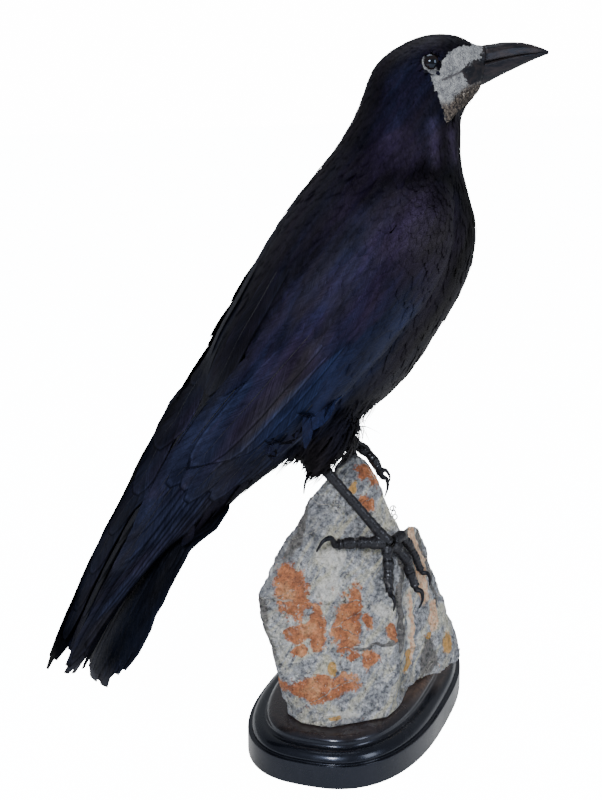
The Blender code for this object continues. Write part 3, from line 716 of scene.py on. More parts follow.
# The face, seen from the side: ahead of the eye and above it (mm)
BROW = ((4.6, 0.6), (7.9, 4.6), (12.5, 6.9), (15.7, 8.3), (19.9, 8.7), (24.6, 8.4), (26.0, 40.0))
FACE_BACK = ((-40.0, 10.5), (-19.4, 3.2), (-14.0, 0.8), (-6.2, -2.2), (-5.2, 2.8), (0.0, 4.4), (9.0, 5.2))
FACE_FOOT = ((-2.0, -12.0), (3.2, -19.4), (7.9, -19.8), (12.0, -16.6), (17.0, -12.9), (26.0, -9.0))
HORN_BROW = ((16.2, -4.4), (17.6, -2.3), (19.9, -0.9), (23.6, 0.0), (26.3, 0.9), (29.4, 2.0),
             (31.2, 5.5), (32.5, 20.0))
GAPE = ((4.6, -8.3), (7.9, -7.4), (11.5, -6.0), (15.2, -4.6), (17.6, -3.5), (21.7, -2.3),
        (26.3, -0.9), (33.0, 0.4))
NOSTRIL = (29.8, 3.7)
CHIN_DEPTH = 10.5              # how far the scabby skin reaches under the white skin
EYE_CLEAR = 5.2                # no feathers this near the middle of the eye


def face_zones(co):
    """How bare, how horny, how scabby and how near the gape's crease each point is, 0 to 1."""
    e, g, w = head_axes(co)
    wobble = 0.7 * np.sin(g * 1.3 + 0.7) + 0.35 * np.sin(g * 3.1 + e) + 0.3 * np.sin(e * 2.2 - g)
    back = read_off(FACE_BACK, g)
    brow = read_off(BROW, e)
    foot = read_off(FACE_FOOT, e)
    inside = np.minimum(np.minimum(e - back, brow - g), g - foot + CHIN_DEPTH) + wobble * 0.4
    socket = smooth_step(5.8 - np.hypot(e, g), 0.0, 0.6) * smooth_step(w, 4, 6)
    socket *= smooth_step(-g - e, -1.0, 2.0)
    bare = np.maximum(smooth_step(inside, -0.6, 0.6), 0.8 * socket)
    horn_in = np.minimum(e - 16.9 - 0.9 * np.maximum(-6.0 - g, 0), read_off(HORN_BROW, e) - g)
    horn = smooth_step(horn_in + wobble * 0.6, -3.4, 2.6) * smooth_step(g - foot, -2.0, 0.0)
    crease = np.exp(-(near_path(e, g, GAPE) / 0.7) ** 2) * (w > 3)
    scab = smooth_step(foot - g, -2.5, 3.0)
    return bare, horn, scab, crease


def nostril_zone(co):
    """How deep in the nostril, and how high on its rim, each point is, 0 to 1."""
    e, g, w = head_axes(co)
    away = np.hypot((e - NOSTRIL[0]) / 1.25, (g - NOSTRIL[1] - 0.25 * (e - NOSTRIL[0])) / 0.85)
    aside = smooth_step(w, 2.0, 3.0)
    return (1 - smooth_step(away, 0.6, 1.1)) * aside, np.exp(-((away - 1.45) / 0.35) ** 2) * aside


# ---------------------------------------------------------------- skin

def welded(node):
    bm = bmesh.new()
    bm.from_mesh(NODES[node].data)
    bmesh.ops.remove_doubles(bm, verts=bm.verts[:], dist=0.002 * MM)
    bmesh.ops.recalc_face_normals(bm, faces=bm.faces[:])
    return bm


def grown_copy(node, grow):
    bm = welded(node)
    bm.normal_update()
    for vert in bm.verts:
        vert.co += vert.normal * grow
    mesh = bpy.data.meshes.new(node)
    bm.to_mesh(mesh)
    bm.free()
    return mesh


def cut_wing(node):
    """The part of a wing that has skin under its feathers."""
    start, axis, _, scale = wing_frame(node)
    bm = welded(node)
    cut = Vector(start + axis * (WING_SKIN_END * WING_NOMINAL * scale * MM))
    geometry = bm.verts[:] + bm.edges[:] + bm.faces[:]
    bmesh.ops.bisect_plane(bm, geom=geometry, plane_co=cut, plane_no=Vector(axis), clear_outer=True)
    bmesh.ops.holes_fill(bm, edges=[e for e in bm.edges if e.is_boundary], sides=0)
    mesh = bpy.data.meshes.new(node)
    bm.to_mesh(mesh)
    bm.free()
    return mesh


def shrunk_bill(node):
    """A slimmer copy of half the bill, for the skin to run on into."""
    co, _ = read_mesh(NODES[node].data)
    low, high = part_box(node)
    root = np.array(low.lerp(high, 0.5))
    root[:2] = co[np.argmin(co @ np.array(head_ahead))][:2]
    mesh = NODES[node].data.copy()
    shrunk = root + (co - root) * 0.86
    write_places(mesh, shrunk - np.array(head_ahead) * 1.2 * MM)
    return mesh


def build_skin():
    """One skin for head, neck, trunk and thighs, sunk by the depth of the coat over it."""
    bm = bmesh.new()
    for node in ("head", "neck", "trunk", "thigh_right", "thigh_left"):
        bm.from_mesh(grown_copy(node, GROW))
    for word in SIDES:
        bm.from_mesh(cut_wing(f"wing_{word}"))
    for node in ("bill_upper", "bill_lower"):
        bm.from_mesh(shrunk_bill(node))
    skin = remesh(object_from_bmesh("rook_skin", bm), SKIN_VOXEL, SKIN_SMOOTH)
    keep_largest_island(skin)

    co, no = read_mesh(skin.data)
    bare, _, _, _ = face_zones(co)
    share, _, _ = spine_place(co)
    covered = on_flight_wing(co)
    depth = GROW / MM + along_coat(share, COAT_DEPTH) * (1 - bare) + 1.3 * covered
    co = co - no * (depth * MM)[:, None]
    for wing in WINGS.values():
        away = co - wing["start"]
        most = wing["field"].height(away @ wing["along"], away @ wing["across"]) - LATE_SKIN
        own = covered & (co[:, 1] * wing["side"] > np.maximum(most, 0))
        co[own, 1] = most[own] * wing["side"]
    write_places(skin.data, co)
    return skin


def lap_bill(mesh):
    """Bring the skin at the root of the bill out over the horn, so that no groove shows."""
    bill = tree_of(NODES["bill_upper"].data, NODES["bill_lower"].data)
    horn_co = np.concatenate([read_mesh(NODES[node].data)[0] for node in ("bill_upper", "bill_lower")])
    rear = head_axes(horn_co)[0].min()
    co, _ = read_mesh(mesh)
    e, _, _ = head_axes(co)
    share = smooth_step(e, rear - 0.7, rear + 0.5) * (1 - smooth_step(e, rear + 1.8, rear + 3.2))
    for i in np.nonzero(share > 0.01)[0]:
        place = Vector(co[i])
        on_bill, face, _, _ = bill.find_nearest(place)
        level = face - head_ahead * face.dot(head_ahead)
        target = on_bill + level * 0.28 * MM
        co[i] = place.lerp(target, float(share[i]))
    write_places(mesh, co)


def refine_face(skin):
    """Cut the bare face finer, then raise its folds and warts."""
    bm = bmesh.new()
    bm.from_mesh(skin.data)
    bm.verts.ensure_lookup_table()
    co = np.array([vert.co for vert in bm.verts])
    e, g, _ = head_axes(co)
    near_face = (e > -9) & (e < 38) & (g > -34) & (g < 14)
    edges = [edge for edge in bm.edges if all(near_face[v.index] for v in edge.verts)]
    bmesh.ops.subdivide_edges(bm, edges=edges, cuts=2, use_grid_fill=True)
    bmesh.ops.triangulate(bm, faces=[face for face in bm.faces if len(face.verts) > 4])
    co = np.array([vert.co for vert in bm.verts])
    e, g, _ = head_axes(co)
    fine = [vert for vert, a, b in zip(bm.verts, e, g) if -8 < a < 37 and -33 < b < 13]
    for _ in range(3):
        bmesh.ops.smooth_vert(bm, verts=fine, factor=0.5, use_axis_x=True, use_axis_y=True, use_axis_z=True)
    bm.to_mesh(skin.data)
    bm.free()
    skin.data.shade_smooth()
    lap_bill(skin.data)

    co, no = read_mesh(skin.data)
    bare, horn, scab, crease = face_zones(co)
    e, g, w = head_axes(co)
    lift = np.zeros(len(co))
    for i in np.nonzero(bare > 0.05)[0]:
        place = Vector(co[i])
        bumps = 0.22 * noise.noise(place * 620) + 0.30 * noise.noise(place * 260)
        lift[i] = bare[i] * (1 - 0.85 * horn[i]) * (bumps + 0.25 * scab[i] * noise.noise(place * 900))
    lift += 0.35 * bare * (1 - horn) * smooth_step(e, 4, 9) * smooth_step(-g, -9, 12)
    lift -= 0.75 * crease * np.maximum(bare, horn)
    lift -= 1.0 * smooth_step(5.4 - np.hypot(e, g), 0, 2.0) * (w > 6)
    pit, brim = nostril_zone(co)
    lift += 0.45 * brim - 1.1 * pit
    write_places(skin.data, co + no * (lift * MM)[:, None])
    values = {"bare": bare, "horn": horn, "scab": scab * bare, "crease": crease, "pit": pit}
    for name, value in values.items():
        write_value(skin.data, name, value)
    return skin


# ---------------------------------------------------------------- vanes

class Coat:
    """Collects closed vanes and makes one mesh of them."""

    def __init__(self):
        self.co, self.normals, self.tops, self.backs, self.bake, self.vane = ([] for _ in range(6))
        self.values = {key: [] for key in ("tint", "dull", "violet", "gloss", "rim")}
        self.count = 0

    def add(self, path, normal, width, profile, camber, bake, across=2, ragged=0.0, shaft=0.0,
            slant=0.0, **look):
        """path and normal are (feathers, rows, 3); profile is the width's share in each row."""
        feathers, rows, _ = path.shape
        columns = across + 1
        width = np.broadcast_to(np.asarray(width, float), (feathers,))
        way = unit(np.gradient(path, axis=1))
        side = unit(np.cross(normal, way))
        out = np.cross(way, side)
        half = width[:, None] * np.broadcast_to(profile, (feathers, rows)) / 2
        x = np.linspace(-1, 1, columns)
        shifted = x + shaft * (1 - x * x)
        reach = half[:, :, None] * shifted[None, None, :]
        if ragged:
            fray = np.linspace(0.3, 1, rows)[None, :, None] * ragged
            reach = reach * (1 + rng.uniform(-1, 1, reach.shape) * fray)
            path = path.copy()
            path[:, -1] += way[:, -1] * (rng.uniform(-0.5, 0.5, (feathers, 1)) * width[:, None] * ragged)
        height = camber * half[:, :, None] * (1 - x * x)[None, None, :] + 0.04 * MM * (x == 0)
        co = path[:, :, None, :] + side[:, :, None, :] * reach[..., None]
        co = co + out[:, :, None, :] * height[..., None]
        late = (np.linspace(0, 1, rows) ** 5)[None, :, None] * slant
        late = late * width[:, None, None] / 2 * x[None, None, :]
        co = co + way[:, :, None, :] * late[..., None]
        soft = unit(normal[:, :, None, :] + side[:, :, None, :] * (SOFT_ROUND * x)[None, None, :, None])
        base = self.count + np.arange(feathers)[:, None, None] * rows * columns
        k = np.arange(rows - 1)[None, :, None] * columns
        m = np.arange(across)[None, None, :]
        corner = base + k + m
        top = np.stack([corner, corner + columns, corner + columns + 1, corner + 1], axis=-1)
        edge = (base + k)[..., 0]
        under = np.stack([edge, edge + across, edge + columns + across, edge + columns], axis=-1)
        root = base[..., 0] + np.arange(columns)[None, :]
        tip = base[..., 0] + (rows - 1) * columns + np.arange(columns)[::-1][None, :]
        self.tops.append(top.reshape(-1, 4))
        self.backs.append(under.reshape(-1, 4))
        self.backs.append(np.concatenate([root, tip]))
        self.co.append(co.reshape(-1, 3))
        self.normals.append(soft.reshape(-1, 3))
        length = np.concatenate([np.zeros((feathers, 1)),
                                 np.cumsum(np.linalg.norm(np.diff(path, axis=1), axis=2), axis=1)], axis=1)
        vane = np.stack([reach / MM, np.broadcast_to(length[:, :, None] / MM, reach.shape)], axis=-1)
        self.vane.append(vane.reshape(-1, 2))
        shares = np.broadcast_to(np.linspace(0, 1, rows)[None, :, None], reach.shape)
        across_share = np.broadcast_to(x[None, None, :], reach.shape) / 2 + 0.5
        low, high = bake
        spot = np.stack([across_share, shares], axis=-1)
        spot = low[:, None, None, :] + (high - low)[:, None, None, :] * spot
        self.bake.append(spot.reshape(-1, 2))
        look.setdefault("tint", rng.random(feathers))
        # Zone values from the wing's frame, with their painted shade along the fold and painted sheen on the
        # throat and the shoulder
        if "gloss" not in look:
            look.update(mood(*beside_wing(co.reshape(-1, 3))))
        for key, usual in (("tint", 0.5), ("dull", 0.0), ("violet", 0.3), ("gloss", 1.0)):
            value = np.asarray(look.get(key, usual), float).ravel()
            self.values[key].append(np.repeat(value, feathers * rows * columns // value.size))
        # How near each corner is to the vane's edge or tip, for the painted shade at the feather edges
        edge = np.maximum(np.abs(x)[None, None, :], np.linspace(0, 1, rows)[None, :, None] ** 6)
        self.values["rim"].append(np.broadcast_to(edge, reach.shape).ravel())
        self.count += feathers * rows * columns

    def build(self, name):
        groups = {}
        for top_side, parts in ((True, self.tops), (False, self.backs)):
            for part in parts:
                groups.setdefault((top_side, part.shape[1]), []).append(part)
        normals = np.concatenate(self.normals)
        faces, corner_normals = [], []
        for (top_side, _), parts in groups.items():
            part = np.concatenate(parts)
            faces.append(part)
            corner_normals.append(normals[part.ravel()] * (1 if top_side else -1))
        maps = {"OFBake": np.concatenate(self.bake), "vane": np.concatenate(self.vane)}
        values = {key: np.concatenate(value) for key, value in self.values.items()}
        return object_from_arrays(name, np.concatenate(self.co), faces, maps, values,
                                  np.concatenate(corner_normals))


def patches(u, v):
    """A small square of the bake map round each root."""
    centre = np.stack([np.asarray(u, float), np.asarray(v, float)], axis=-1) * (1 - 2 * PATCH) + PATCH
    return centre - PATCH / 2, centre + PATCH / 2


def thin_out(points, radius):
    """Indexes of points that keep this distance from each other."""
    grid = {}
    keep = []
    cells = np.floor(points / radius).astype(int).tolist()
    limit = radius * radius
    around = [(a, b, c) for a in (-1, 0, 1) for b in (-1, 0, 1) for c in (-1, 0, 1)]
    for i, (place, (cx, cy, cz)) in enumerate(zip(points.tolist(), cells)):
        x, y, z = place
        clear = True
        for a, b, c in around:
            for px, py, pz in grid.get((cx + a, cy + b, cz + c), ()):
                if (px - x) ** 2 + (py - y) ** 2 + (pz - z) ** 2 < limit:
                    clear = False
                    break
            if not clear:
                break
        if clear:
            grid.setdefault((cx, cy, cz), []).append(place)
            keep.append(i)
    return np.array(keep, int)


def surface_samples(mesh, spacing):
    """Well-spread points over a mesh, with their normals. spacing gives the distance at each place."""
    mesh.calc_loop_triangles()
    corners = np.empty(len(mesh.loop_triangles) * 3, np.int32)
    mesh.loop_triangles.foreach_get("vertices", corners)
    corners = corners.reshape(-1, 3)
    co, no = read_mesh(mesh)
    a, b, c = co[corners[:, 0]], co[corners[:, 1]], co[corners[:, 2]]
    area = np.linalg.norm(np.cross(b - a, c - a), axis=1) / 2
    gap = spacing((a + b + c) / 3)
    bands = np.linspace(math.log(gap.min()), math.log(gap.max() + 1e-9), SPACING_STEPS + 1)
    level = np.clip(np.digitize(np.log(gap), bands) - 1, 0, SPACING_STEPS - 1)
    places, normals = [], []
    for band in range(SPACING_STEPS):
        chosen = np.nonzero((level == band) & (area > 0))[0]
        if len(chosen) == 0:
            continue
        radius = math.exp((bands[band] + bands[band + 1]) / 2)
        count = int(area[chosen].sum() / radius ** 2 * 5) + 1
        pick = rng.choice(chosen, count, p=area[chosen] / area[chosen].sum())
        r1, r2 = np.sqrt(rng.random(count)), rng.random(count)
        weights = np.stack([1 - r1, r1 * (1 - r2), r1 * r2], axis=1)
        place = (co[corners[pick]] * weights[..., None]).sum(axis=1)
        normal = unit((no[corners[pick]] * weights[..., None]).sum(axis=1))
        kept = thin_out(place, radius)
        places.append(place[kept])
        normals.append(normal[kept])
    return np.concatenate(places), np.concatenate(normals)


def march(tree, starts, ways, lengths, steps):
    """Lines over a surface: from each start, its own way, for its own length."""
    count = len(starts)
    path = np.empty((count, steps, 3))
    normal = np.empty((count, steps, 3))
    for i in range(count):
        step = lengths[i] / (steps - 1)
        place, face, _, _ = tree.find_nearest(Vector(starts[i]))
        way = Vector(ways[i])
        for k in range(steps):
            path[i, k] = place
            normal[i, k] = face
            way = (way - face * way.dot(face)).normalized()
            target = place + way * step
            found, found_face, _, gap = tree.find_nearest(target)
            if gap < 0.45 * step:
                place = found
                face = (face + found_face).normalized()
            else:
                place = target
    return path, normal


def contour_paths(tree, places, normals, ways, lengths, lift, tip_lift, spread_angle):
    """Feather centre lines that start just under the skin and rise to the coat's face."""
    turn = rng.normal(0, spread_angle, len(places))
    side = np.cross(normals, ways)
    ways = unit(ways * np.cos(turn)[:, None] + side * np.sin(turn)[:, None])
    path, normal = march(tree, places, ways, lengths, MARCH_STEPS)
    rise = np.linspace(0, 1, MARCH_STEPS)[None, :] ** 0.5
    height = lift[:, None] + (tip_lift - lift)[:, None] * rise
    return path + normal * height[..., None], normal


def beside_wing(co):
    """The wing frame's coordinates (mm) of places on either side of the bird."""
    co = np.asarray(co)
    along, across = np.empty(len(co)), np.empty(len(co))
    for wing in WINGS.values():
        own = co[:, 1] * wing["side"] >= 0
        away = co[own] - wing["start"]
        along[own] = away @ wing["along"] / (wing["scale"] * MM)
        across[own] = away @ wing["across"] / (wing["scale"] * MM)
    return along, across


def on_flight_wing(co):
    """True where folded flight feathers and their coverts hide the skin."""
    covered = np.zeros(len(co), bool)
    for wing in WINGS.values():
        own = co[:, 1] * wing["side"] > 0
        away = co - wing["start"]
        surface = wing["field"].height(away @ wing["along"], away @ wing["across"])
        covered |= own & (co[:, 1] * wing["side"] > surface - 6 * MM)
    u, v = beside_wing(co)
    upper = np.interp(u, (0, 10, 150, 190), (-8, -22, -27, -30))
    lower = np.interp(u, (0, 10, 30, 46, 80, 100, 127, 154, 181, 204),
                      (4, 12, 22, 22, 18, 12, 7, 2.5, -2, -5))
    return covered & (u > 8) & (v > upper) & (v < lower)


def near_thighs(co):
    near = np.zeros(len(co), bool)
    for word in SIDES:
        low, high = (np.array(corner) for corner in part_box(f"thigh_{word}"))
        reach = 7 * MM
        near |= ((co > low - reach) & (co < high + reach)).all(axis=1)
    return near


# Zones of the plumage in the wing's frame: along and across it (mm)
FOLD = ((25, -32), (17, -30), (9, -26), (0, -19), (-8, -11), (-12, -2), (-13, 9), (-12, 20), (-6, 29))
TONGUE_REAR = ((-29, -22), (-20, -14), (-13, -9))
TONGUE_FRONT = ((-32, -9), (-24, 3))
PANEL_EDGE = ((40, 12), (66, 9), (102, -1), (144, -8), (171, -10), (197, -9))


def blob(u, v, u0, v0, half_u, half_v):
    return np.exp(-((u - u0) / half_u) ** 2 - ((v - v0) / half_v) ** 2)


def mood(u, v):
    """How violet, how dull and how bright the plumage is at each place in the wing's frame. The brightness
    holds painted shade along the fold above the shoulder, and painted sheen on the throat's tongues and on
    the shoulder.
    """
    gloss = np.interp(u, (-80, -45, -20, 10, 60, 140, 190, 310),
                      (0.50, 0.48, 0.50, 0.72, 0.90, 0.88, 0.85, 0.82))
    violet = np.interp(u, (-80, -30, 0, 40, 110, 180, 310), (0.40, 0.50, 0.50, 0.45, 0.40, 0.25, 0.20))
    dull = np.interp(u, (-80, -20, 20, 110, 180, 310), (0.30, 0.25, 0.08, 0.20, 0.40, 0.50))
    breast = smooth_step(v, 20, 32)
    back = smooth_step(-v, 22, 32) * smooth_step(u, -20, 0)
    fold = np.exp(-(near_path(u, v, FOLD) / 6.0) ** 2)
    tongue = np.maximum(np.exp(-(near_path(u, v, TONGUE_REAR) / 3.4) ** 2),
                        np.exp(-(near_path(u, v, TONGUE_FRONT) / 3.2) ** 2))
    below = smooth_step(v - read_off(PANEL_EDGE, u), -2, 3)
    panel = below * smooth_step(u, 45, 70) * smooth_step(175 - u, 0, 40) * (1 - breast)
    # Each zone, its share more brightness (painted light in some zones), more violet and more dullness, and
    # its share less dullness
    zones = (
        (breast, -0.25, 0.0, 0.35, 0.0),
        (back, -0.25, 0.0, 0.0, 0.0),
        # fold: painted shade in the crease where the neck's feathers lap over the shoulder
        (fold, -0.62, 0.0, 0.0, 0.0),
        # shoulder: brownish worn feathers, also brightened as a painted sheen
        (blob(u, v, 21, 0, 20, 19), 1.10, 0.5, 0.45, 0.0),        # shoulder
        (blob(u, v, -5, -28, 11, 11), 0.5, 0.5, 0.0, 0.0),        # greyer nape
        # tongue: painted sheen on the throat's hackles
        (tongue, 2.6, 0.10, 0.0, 0.8),
        (panel, 0.40, -0.8, 0.0, 0.6),
        (blob(u, v, 128, -10, 34, 6), 0.25, 0.45, 0.35, 0.0),     # rusty band
    )
    for zone, more_gloss, more_violet, more_dull, less_dull in zones:
        gloss = gloss * (1 + more_gloss * zone)
        violet = violet + more_violet * zone
        dull = (dull + more_dull * zone) * (1 - less_dull * zone)
    return {"violet": np.clip(violet, -0.3, 1), "dull": np.clip(dull, 0, 1), "gloss": np.clip(gloss, 0.15, 3)}


def build_contour(skin):
    """The coats of body feathers one by one, and the scabs on the chin."""
    tree = tree_of(skin.data)

    def spacing(co):
        share, _, _ = spine_place(co)
        gap = along_coat(share, FEATHER_SPACING)
        return np.where(near_thighs(co), 1.8, gap) * MM

    places, normals = surface_samples(skin.data, spacing)
    e, g, w = head_axes(places)
    bare, horn, scab, _ = face_zones(places)
    near_eye = (np.hypot(e, g) < EYE_CLEAR) & (w > 5)
    keep = (bare < 0.45) & (e < 31) & ~near_eye & ~on_flight_wing(places)
    run, rise = beside_wing(places)
    keep &= ~((run > 118) & (rise < -19))
    scabby = (bare > 0.45) & (scab > 0.5) & (horn < 0.3) & (e < 26) & (rng.random(len(places)) < 0.75)
    share, angle, way = spine_place(places)
    front = np.abs(angle) > 2.2

    groups = {
        "coat_head": keep & (share < 0.19),
        "coat_neck": keep & (share >= 0.19) & (share < 0.36),
        "coat_back": keep & (share >= 0.36) & (np.abs(angle) < 1.45),
        "coat_front": keep & (share >= 0.36) & (np.abs(angle) >= 1.45),
    }
    for name, chosen in groups.items():
        index = np.nonzero(chosen)[0]
        s, a = share[index], angle[index]
        lengths = along_coat(s, FEATHER_LENGTH) * MM * rng.uniform(0.85, 1.15, len(index))
        width = along_coat(s, FEATHER_WIDTH) * MM * rng.uniform(0.85, 1.15, len(index))
        depth = along_coat(s, COAT_DEPTH) * MM
        throat = (front[index]) & (s > 0.13) & (s < 0.40)
        hocks = near_thighs(places[index])
        belly = (np.abs(a) > 2.0) & (s > 0.62)
        vent = s > 0.86
        run, rise = beside_wing(places[index])
        rump = (run > 132) & (rise < 8)
        lengths = np.where(throat, lengths * 1.25, lengths)
        for area, share_of_width in ((throat, 0.80), (belly, 0.75)):
            width = np.where(area, width * share_of_width, width)
        width = np.where(hocks, 1.8 * MM, width)
        for area, longest in ((hocks, 13), (rump, 9), (vent, 14)):
            lengths = np.where(area, np.minimum(lengths, longest * MM), lengths)
        width = np.where(vent, np.minimum(width, 4.5 * MM), width)
        edge = smooth_step(0.45 - bare[index], 0, 0.4)
        lengths *= 0.55 + 0.45 * edge
        ahead = e[index] > 6
        lengths = np.where(ahead, lengths * 0.85, lengths)
        coat = Coat()
        start = places[index] - way[index] * (lengths * 0.25)[:, None]
        lift = np.full(len(index), -0.25 * MM)
        tip_lift = depth * rng.uniform(0.9, 1.15, len(index))
        wing_side = (run > 75) & (run < 205) & (np.abs(a) < 2.0) & (rise > -6)
        shaggy = rng.uniform(1.2, 2.4, len(index))
        areas = ((belly, 1.15), (hocks, shaggy), (vent, 0.8), (rump, 0.4), (throat, 0.7), (wing_side, 0.45))
        for area, factor in areas:
            tip_lift = np.where(area, tip_lift * factor, tip_lift)
        path, normal = contour_paths(tree, start, normals[index], way[index], lengths, lift, tip_lift, 0.10)
        profile = np.where((throat | hocks)[:, None], HACKLE_PROFILE[None, :], BODY_PROFILE[None, :])
        low, high = patches(a / (2 * math.pi) + 0.5, s)
        coat.add(path, normal, width, profile, 0.10, (low, high), 2, 0.20)
        yield name, coat
    scabs = Coat()
    index = np.nonzero(scabby)[0]
    count = len(index)
    lengths = rng.uniform(1.2, 2.6, count) * MM
    random_way = unit(way[index] + rng.normal(0, 0.8, (count, 3)))
    path, normal = contour_paths(tree, places[index], normals[index], random_way, lengths,
                                 np.full(count, -0.1 * MM), rng.uniform(0.3, 0.9, count) * MM, 0.6)
    low, high = patches(angle[index] / (2 * math.pi) + 0.5, share[index])
    scabs.add(path, normal, rng.uniform(0.35, 0.9, count) * MM, BODY_PROFILE, 0.3, (low, high), 2, 0.3)
    yield "chin_scabs", scabs


# ---------------------------------------------------------------- surfaces for flight feathers

class Field:
    """A surface's height over a plane, found by rays, read off smoothly anywhere near it."""

    def __init__(self, tree, origin, along, across, out, u_range, v_range, step, far):
        axes = (origin, along, across, out)
        self.origin, self.along, self.across, self.out = (np.asarray(axis, float) for axis in axes)
        self.u0, self.v0, self.step = u_range[0], v_range[0], step
        us = np.arange(u_range[0], u_range[1] + step, step)
        vs = np.arange(v_range[0], v_range[1] + step, step)
        grid = np.full((len(us), len(vs)), np.nan)
        for i, u in enumerate(us):
            for j, v in enumerate(vs):
                start = self.origin + self.along * u + self.across * v + self.out * far
                hit = tree.ray_cast(Vector(start), Vector(-self.out), far * 2)[0]
                if hit is not None:
                    grid[i, j] = (np.array(hit) - self.origin) @ self.out
        self.found = ~np.isnan(grid)
        self.grid = self.settle(grid, FIELD_SLOPE * step)

    def over(self, u, v):
        """True where a ray found the surface."""
        i = np.clip(np.rint((np.asarray(u) - self.u0) / self.step).astype(int), 0, self.grid.shape[0] - 1)
        j = np.clip(np.rint((np.asarray(v) - self.v0) / self.step).astype(int), 0, self.grid.shape[1] - 1)
        return self.found[i, j]

    @staticmethod
    def settle(grid, drop):
        """Let the surface run on past its edges, falling away no faster than a set slope."""
        full = np.where(np.isnan(grid), -1.0, grid)
        for _ in range(max(full.shape)):
            padded = np.pad(full, 1, mode="edge")
            beside = np.maximum.reduce([padded[:-2, 1:-1], padded[2:, 1:-1], padded[1:-1, :-2],
                                        padded[1:-1, 2:]])
            full = np.maximum(full, beside - drop)
        for _ in range(3):
            padded = np.pad(full, 1, mode="edge")
            full = (padded[:-2, 1:-1] + padded[2:, 1:-1] + padded[1:-1, :-2] + padded[1:-1, 2:]
                    + 4 * full) / 8
        return full

    def height(self, u, v):
        fu = np.clip((np.asarray(u) - self.u0) / self.step, 0, self.grid.shape[0] - 1.001)
        fv = np.clip((np.asarray(v) - self.v0) / self.step, 0, self.grid.shape[1] - 1.001)
        i, j = fu.astype(int), fv.astype(int)
        a, b = fu - i, fv - j
        g = self.grid
        return ((1 - a) * (1 - b) * g[i, j] + a * (1 - b) * g[i + 1, j]
                + (1 - a) * b * g[i, j + 1] + a * b * g[i + 1, j + 1])

    def place(self, u, v, lift):
        """Points lifted off the surface, with its normals."""
        d = self.step
        slope_u = (self.height(u + d, v) - self.height(u - d, v)) / (2 * d)
        slope_v = (self.height(u, v + d) - self.height(u, v - d)) / (2 * d)
        normal = unit(self.out - self.along * slope_u[..., None] - self.across * slope_v[..., None])
        flat = self.origin + self.along * np.asarray(u)[..., None] + self.across * np.asarray(v)[..., None]
        return flat + self.out * self.height(u, v)[..., None] + normal * np.asarray(lift)[..., None], normal


def build_wing_fields():
    wings = {}
    for word, side in SIDES.items():
        start, axis, across, scale = wing_frame(f"wing_{word}")
        tree = tree_of(NODES[f"wing_{word}"].data, NODES["trunk"].data, NODES["neck"].data)
        field = Field(tree, start, axis, across, np.array([0.0, float(side), 0.0]),
                      (-40 * MM, 330 * MM), (-75 * MM, 45 * MM), FIELD_STEP, 0.2)
        wings[word] = {"start": start, "along": axis, "across": across, "field": field,
                       "scale": scale, "side": side}
    return wings


def long_feather(coat, shafts, field, root, tip, bend, width, profile, lifts, strip, strips, look):
    """One flight feather from root to tip over a field. bend is how late it turns to its tip."""
    rows = len(profile)
    t = np.linspace(0, 1, rows)
    t = 1 - (1 - t) ** 1.15
    u = (root[0] + (tip[0] - root[0]) * t)[None, :]
    v = (root[1] + (tip[1] - root[1]) * t ** bend)[None, :]
    rise = (lifts[0] + (lifts[1] - lifts[0]) * t)[None, :]
    path, normal = field.place(u, v, rise)
    low = np.array([[(strip + 0.04) / strips * 0.5, 0.01]])
    high = np.array([[(strip + 0.96) / strips * 0.5, 0.99]])
    coat.add(path, normal, width, profile, 0.10, (low, high), 4, tint=rng.random(1), **look)
    shafts.append(path[0] + normal[0] * (0.10 * width / 2 * profile[:, None] + 0.02 * MM))


def covert_rows(coat, wing, rows, profile, ragged):
    """Rows of covert feathers that lap over each other."""
    field, scale = wing["field"], wing["scale"] * MM
    for start, end, count, length, width, lift in rows:
        share = (np.arange(count) + rng.uniform(0.2, 0.8, count)) / count
        tip_u = start[0] + (end[0] - start[0]) * share + rng.normal(0, 0.16 * length, count)
        tip_v = start[1] + (end[1] - start[1]) * share
        t = np.linspace(0, 1, len(profile))
        lean = rng.normal(0.03, 0.06, (count, 1))
        reach = length * rng.uniform(0.85, 1.15, (count, 1)) * (1 - t)[None, :]
        u = (tip_u[:, None] - reach) * scale
        v = (tip_v[:, None] + lean * reach) * scale
        kept = field.over(u[:, -1], v[:, -1]) & field.over(u[:, len(t) // 2], v[:, len(t) // 2])
        rise = (lift - 1.3 * (1 - t)[None, :] + rng.uniform(-0.12, 0.12, (count, 1))) * MM
        path, normal = field.place(u[kept], v[kept], rise[kept])
        low, high = patches(0.55 + 0.4 * (tip_v[kept] + 70) / 110, (tip_u[kept] + 40) / 360)
        widths = width * MM * rng.uniform(0.85, 1.15, kept.sum())
        coat.add(path, normal, widths, profile, 0.10, (low, high), 2, ragged)


